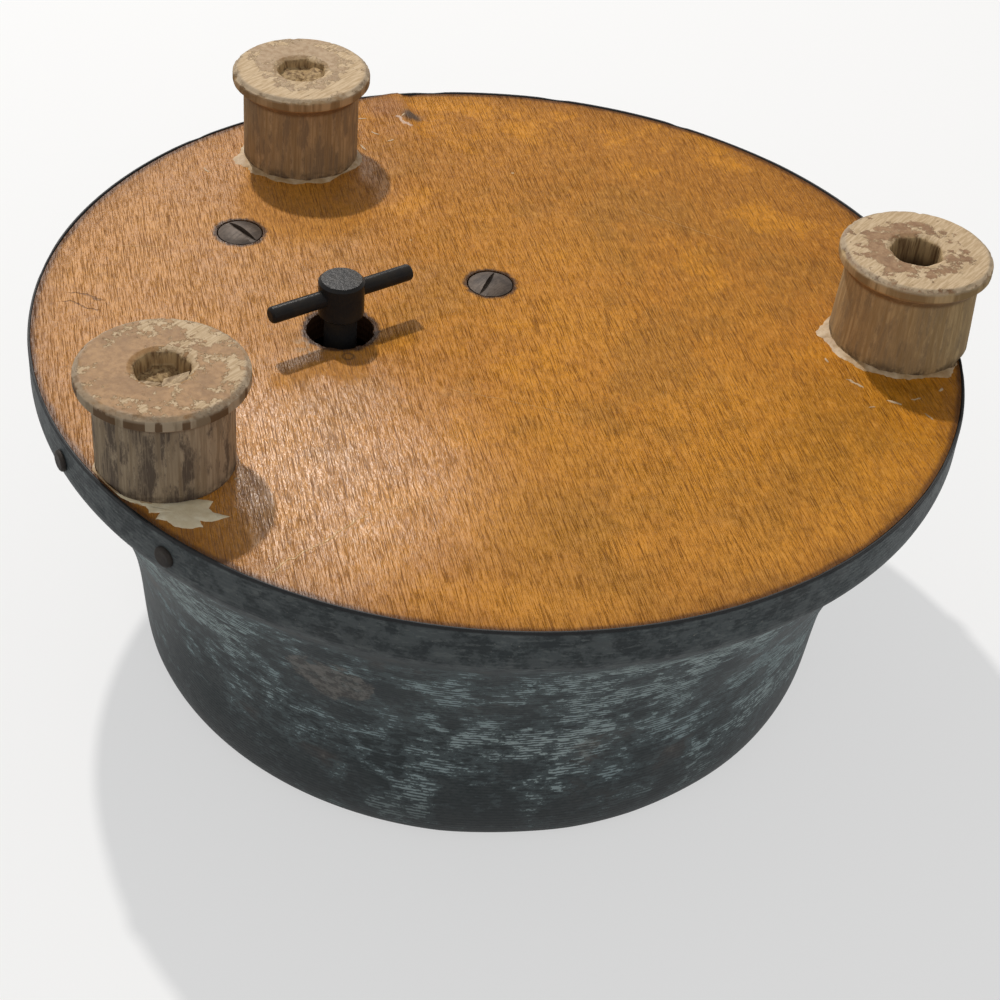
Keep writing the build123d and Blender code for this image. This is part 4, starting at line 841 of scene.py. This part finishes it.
def glue_ring(name, foot, reach, height):
    """Thin ragged skirt of glue. reach(angle in degrees) gives how far it runs out, in mm."""
    points, faces = [], []
    turns, rows = 360, 6
    for s in range(turns):
        a = 2 * math.pi * s / turns
        x, y = math.cos(a), math.sin(a)
        width = reach(math.degrees(a))
        slow = wave(x * 12, y * 12, 0, 0.35, foot["seed"])
        quick = wave(x * 12, y * 12, 0, 1.3, foot["seed"] + 2)
        width *= 1.0 + 0.7 * slow + 0.3 * quick
        width = max(0.02, width)
        for row in range(rows):
            t = row / (rows - 1)
            r = foot["base"] - 0.4 + (width + 0.4) * t
            px, py = foot["x"] + r * x, foot["y"] + r * y
            lift = height * (1 - t) ** 0.6 * min(1.0, width / 0.9)
            lift *= 1 + 0.5 * wave(px, py, 0, 0.9, foot["seed"])
            points.append(on_board(px, py, lift - 0.03 * t))
    for s in range(turns):
        n = (s + 1) % turns
        for row in range(rows - 1):
            faces.append((s * rows + row, s * rows + row + 1, n * rows + row + 1, n * rows + row))
    mesh_piece(name, points, faces, thin_glue)


def hump(angle, centre, spread, size):
    """Smooth rise of the given size round one direction, in degrees."""
    d = (angle - centre + 180) % 360 - 180
    return size * math.exp(-(d / spread) ** 2)


def glue_patch(name, outline, lift, look):
    """Flat smear of glue with a ragged outline, in mm on the board."""
    edge = []
    for i, (ax, ay) in enumerate(outline):
        bx, by = outline[(i + 1) % len(outline)]
        for s in range(4):
            t = s / 4
            x, y = ax + (bx - ax) * t, ay + (by - ay) * t
            edge.append((x + 0.22 * wave(x, y, 0, 1.3, 3.0), y + 0.22 * wave(x, y, 0, 1.3, 6.0)))
    mx = sum(p[0] for p in edge) / len(edge)
    my = sum(p[1] for p in edge) / len(edge)
    points, faces = [on_board(mx, my, lift)], []
    rings = ((0.5, lift), (0.93, lift * 0.9), (1.0, 0.0))
    for share, height in rings:
        points += [on_board(mx + (x - mx) * share, my + (y - my) * share, height) for x, y in edge]
    count = len(edge)
    for i in range(count):
        j = (i + 1) % count
        faces.append((0, 1 + i, 1 + j))
        for ring in range(len(rings) - 1):
            a = 1 + ring * count
            faces.append((a + i, a + count + i, a + count + j, a + j))
    mesh_piece(name, points, faces, look)


def fleck(name, cx, cy, length, width, angle):
    """Small drop or smear of glue."""
    outline = []
    c, s = math.cos(math.radians(angle)), math.sin(math.radians(angle))
    for i in range(12):
        a = 2 * math.pi * i / 12
        swell = 1 + 0.45 * wave(3 * math.cos(a), 3 * math.sin(a), 0, 0.9, cx + cy)
        u, v = length / 2 * math.cos(a) * swell, width / 2 * math.sin(a) * swell
        outline.append((cx + u * c - v * s, cy + u * s + v * c))
    glue_patch(name, outline, 0.07, thin_glue)


glue_ring("glue_front_left", FEET[0],
          lambda a: 0.10 + hump(a, 262, 14, 0.8) + hump(a, 215, 16, 0.9) + hump(a, 60, 40, 0.2), 0.25)
glue_ring("glue_back_left", FEET[1],
          lambda a: (0.15 + hump(a, 212, 24, 1.9) + hump(a, 262, 20, 0.9) + hump(a, 300, 12, 1.0)
                     + hump(a, 350, 18, 0.9)), 0.40)
glue_ring("glue_right", FEET[2],
          lambda a: (0.15 + hump(a, 186, 16, 1.8) + hump(a, 228, 28, 1.1) + hump(a, 275, 24, 0.9)
                     + hump(a, 306, 8, 1.3)), 0.40)
SMEAR = (
    (-56.4, -56.0), (-53.0, -57.9), (-50.6, -58.6), (-49.8, -60.1), (-48.2, -59.8),
    (-48.6, -61.3), (-46.9, -61.4), (-45.6, -62.7), (-43.2, -62.9), (-41.4, -62.2),
    (-42.1, -60.9), (-40.3, -60.8), (-37.8, -59.3), (-40.2, -58.8), (-41.3, -57.8),
    (-40.8, -56.0), (-43.0, -55.8), (-47.0, -57.2), (-51.5, -56.9),
)
glue_patch("glue_smear_front", SMEAR, 0.16, glue)
FLECKS = (
    # x, y, length, width, direction
    (60.6, -10.6, 3.4, 0.50, -38), (66.8, -15.2, 2.6, 0.55, -20), (70.6, -13.6, 1.9, 0.45, 30),
    (72.3, -18.4, 2.0, 0.35, -60), (75.2, -10.3, 1.5, 0.60, 50), (63.0, -17.0, 1.3, 0.30, 10),
    (56.2, -4.6, 1.4, 0.35, -70), (-29.2, 53.6, 2.2, 0.45, -55), (-27.4, 59.2, 2.0, 0.40, -30),
    (-24.2, 57.2, 1.6, 0.40, 40), (-30.4, 64.2, 1.6, 0.35, 20), (-22.6, 66.4, 1.3, 0.30, 70),
    (-57.3, 40.2, 2.2, 0.35, -50), (-60.6, -38.4, 2.2, 0.35, 65), (-38.2, -50.2, 0.9, 0.40, 0),
    (-47.8, -64.0, 0.7, 0.40, 0),
)
for number, place in enumerate(FLECKS):
    fleck(f"glue_fleck_{number:02d}", *place)


# ---------------- carried-over nodes ----------------
slots = {s["node"]: s["material_slot"] for s in frame["record"]["subparts"]}
for name, piece in nodes.items():
    look = looks.get(slots.get(name))
    if look is None:
        continue
    piece.data.materials.clear()
    piece.data.materials.append(look)
    for polygon in piece.data.polygons:
        polygon.material_index = 0


# ---------------- floor and light ----------------
def seen_rays(nodes, links):
    """1 for the rays that see the background: camera, glossy and transmission rays."""
    path = nodes.new("ShaderNodeLightPath")
    result = path.outputs["Is Camera Ray"]
    for name in ("Is Glossy Ray", "Is Transmission Ray"):
        either = nodes.new("ShaderNodeMath")
        either.operation = "MAXIMUM"
        links.new(result, either.inputs[0])
        links.new(path.outputs[name], either.inputs[1])
        result = either.outputs[0]
    return result


def make_floor():
    """Pale floor that looks near white but keeps a soft shadow."""
    data = bpy.data.meshes.new("floor")
    size, z = 6.0, -0.0002
    corners = [(-size, -size, z), (size, -size, z), (size, size, z), (-size, size, z)]
    data.from_pydata(corners, [], [(0, 1, 2, 3)])
    floor = bpy.data.objects.new("floor", data)
    bpy.context.scene.collection.objects.link(floor)
    k = Look("floor_look")
    seen = seen_rays(k.nodes, k.links)
    pale = k.mix(k.noise(3.0, detail=2.0), (0.88, 0.88, 0.88), (0.91, 0.91, 0.905))
    k.set(Base_Color=k.mix(seen, (0.42, 0.41, 0.40), pale), Roughness=0.9, Specular_IOR_Level=0.0)
    glow = k.nodes.new("ShaderNodeEmission")
    glow.inputs["Color"].default_value = (1.0, 1.0, 1.0, 1.0)
    blend = k.nodes.new("ShaderNodeMixShader")
    k.links.new(k.math("MULTIPLY", seen, 0.55), blend.inputs[0])
    k.links.new(k.shader.outputs[0], blend.inputs[1])
    k.links.new(glow.outputs[0], blend.inputs[2])
    k.links.new(blend.outputs[0], k.nodes["Material Output"].inputs["Surface"])
    data.materials.append(k.material)


make_floor()


def area_light(name, position, target, size, power, colour=(1, 1, 1)):
    """Round lamp that points at the target."""
    data = bpy.data.lights.new(name, "AREA")
    data.shape = "DISK"
    data.size = size
    data.energy = power
    data.color = colour
    lamp = bpy.data.objects.new(name, data)
    bpy.context.scene.collection.objects.link(lamp)
    lamp.location = position
    lamp.rotation_euler = (Vector(target) - Vector(position)).to_track_quat("-Z", "Y").to_euler()
    return lamp


area_light("key_light", (-0.35, 0.66, 1.10), (0, 0, 0.06), 0.050, 11.2, (1.0, 0.97, 0.93))
sheen = area_light("sheen_light", (-0.165, 0.668, 0.66), (-0.03, -0.045, 0.06), 0.12, 4.2, (1.0, 0.95, 0.90))
# seen only in reflections, so it lightens no dull surface and casts no second shadow
sheen.visible_diffuse = False
area_light("front_fill", (0.25, -1.1, 0.55), (0, 0, 0.03), 0.9, 1.4, (0.96, 0.98, 1.0))

world = bpy.data.worlds.new("studio")
world.use_nodes = True
bpy.context.scene.world = world
w_nodes = world.node_tree.nodes
w_links = world.node_tree.links
shade = w_nodes["Background"]
shade.inputs["Color"].default_value = (1.0, 1.0, 1.0, 1.0)
level = w_nodes.new("ShaderNodeMix")
w_links.new(seen_rays(w_nodes, w_links), level.inputs[0])
level.inputs[2].default_value = FILL_STRENGTH
level.inputs[3].default_value = SEEN_STRENGTH
w_links.new(level.outputs[0], shade.inputs["Strength"])


# ---------------- camera ----------------
camera_data = bpy.data.cameras.new("camera")
camera_data.lens = 73.56
camera_data.sensor_width = 36.0
camera = bpy.data.objects.new("camera", camera_data)
bpy.context.scene.collection.objects.link(camera)
# the camera's directions and place, as in the photograph
eye = (0.0, -0.29303, RIM_Z * MM + 0.19825)
right = Vector((0.99624, 0.04879, 0.07155)).normalized()
ahead = Vector((0.00747, 0.77477, -0.63220)).normalized()
up = right.cross(ahead)
turn = Matrix((right, up, -ahead)).transposed()
camera.matrix_world = Matrix.Translation(eye) @ turn.to_4x4()
camera_data.clip_start = 0.01
bpy.context.scene.camera = camera
bpy.context.scene.view_settings.view_transform = "Standard"
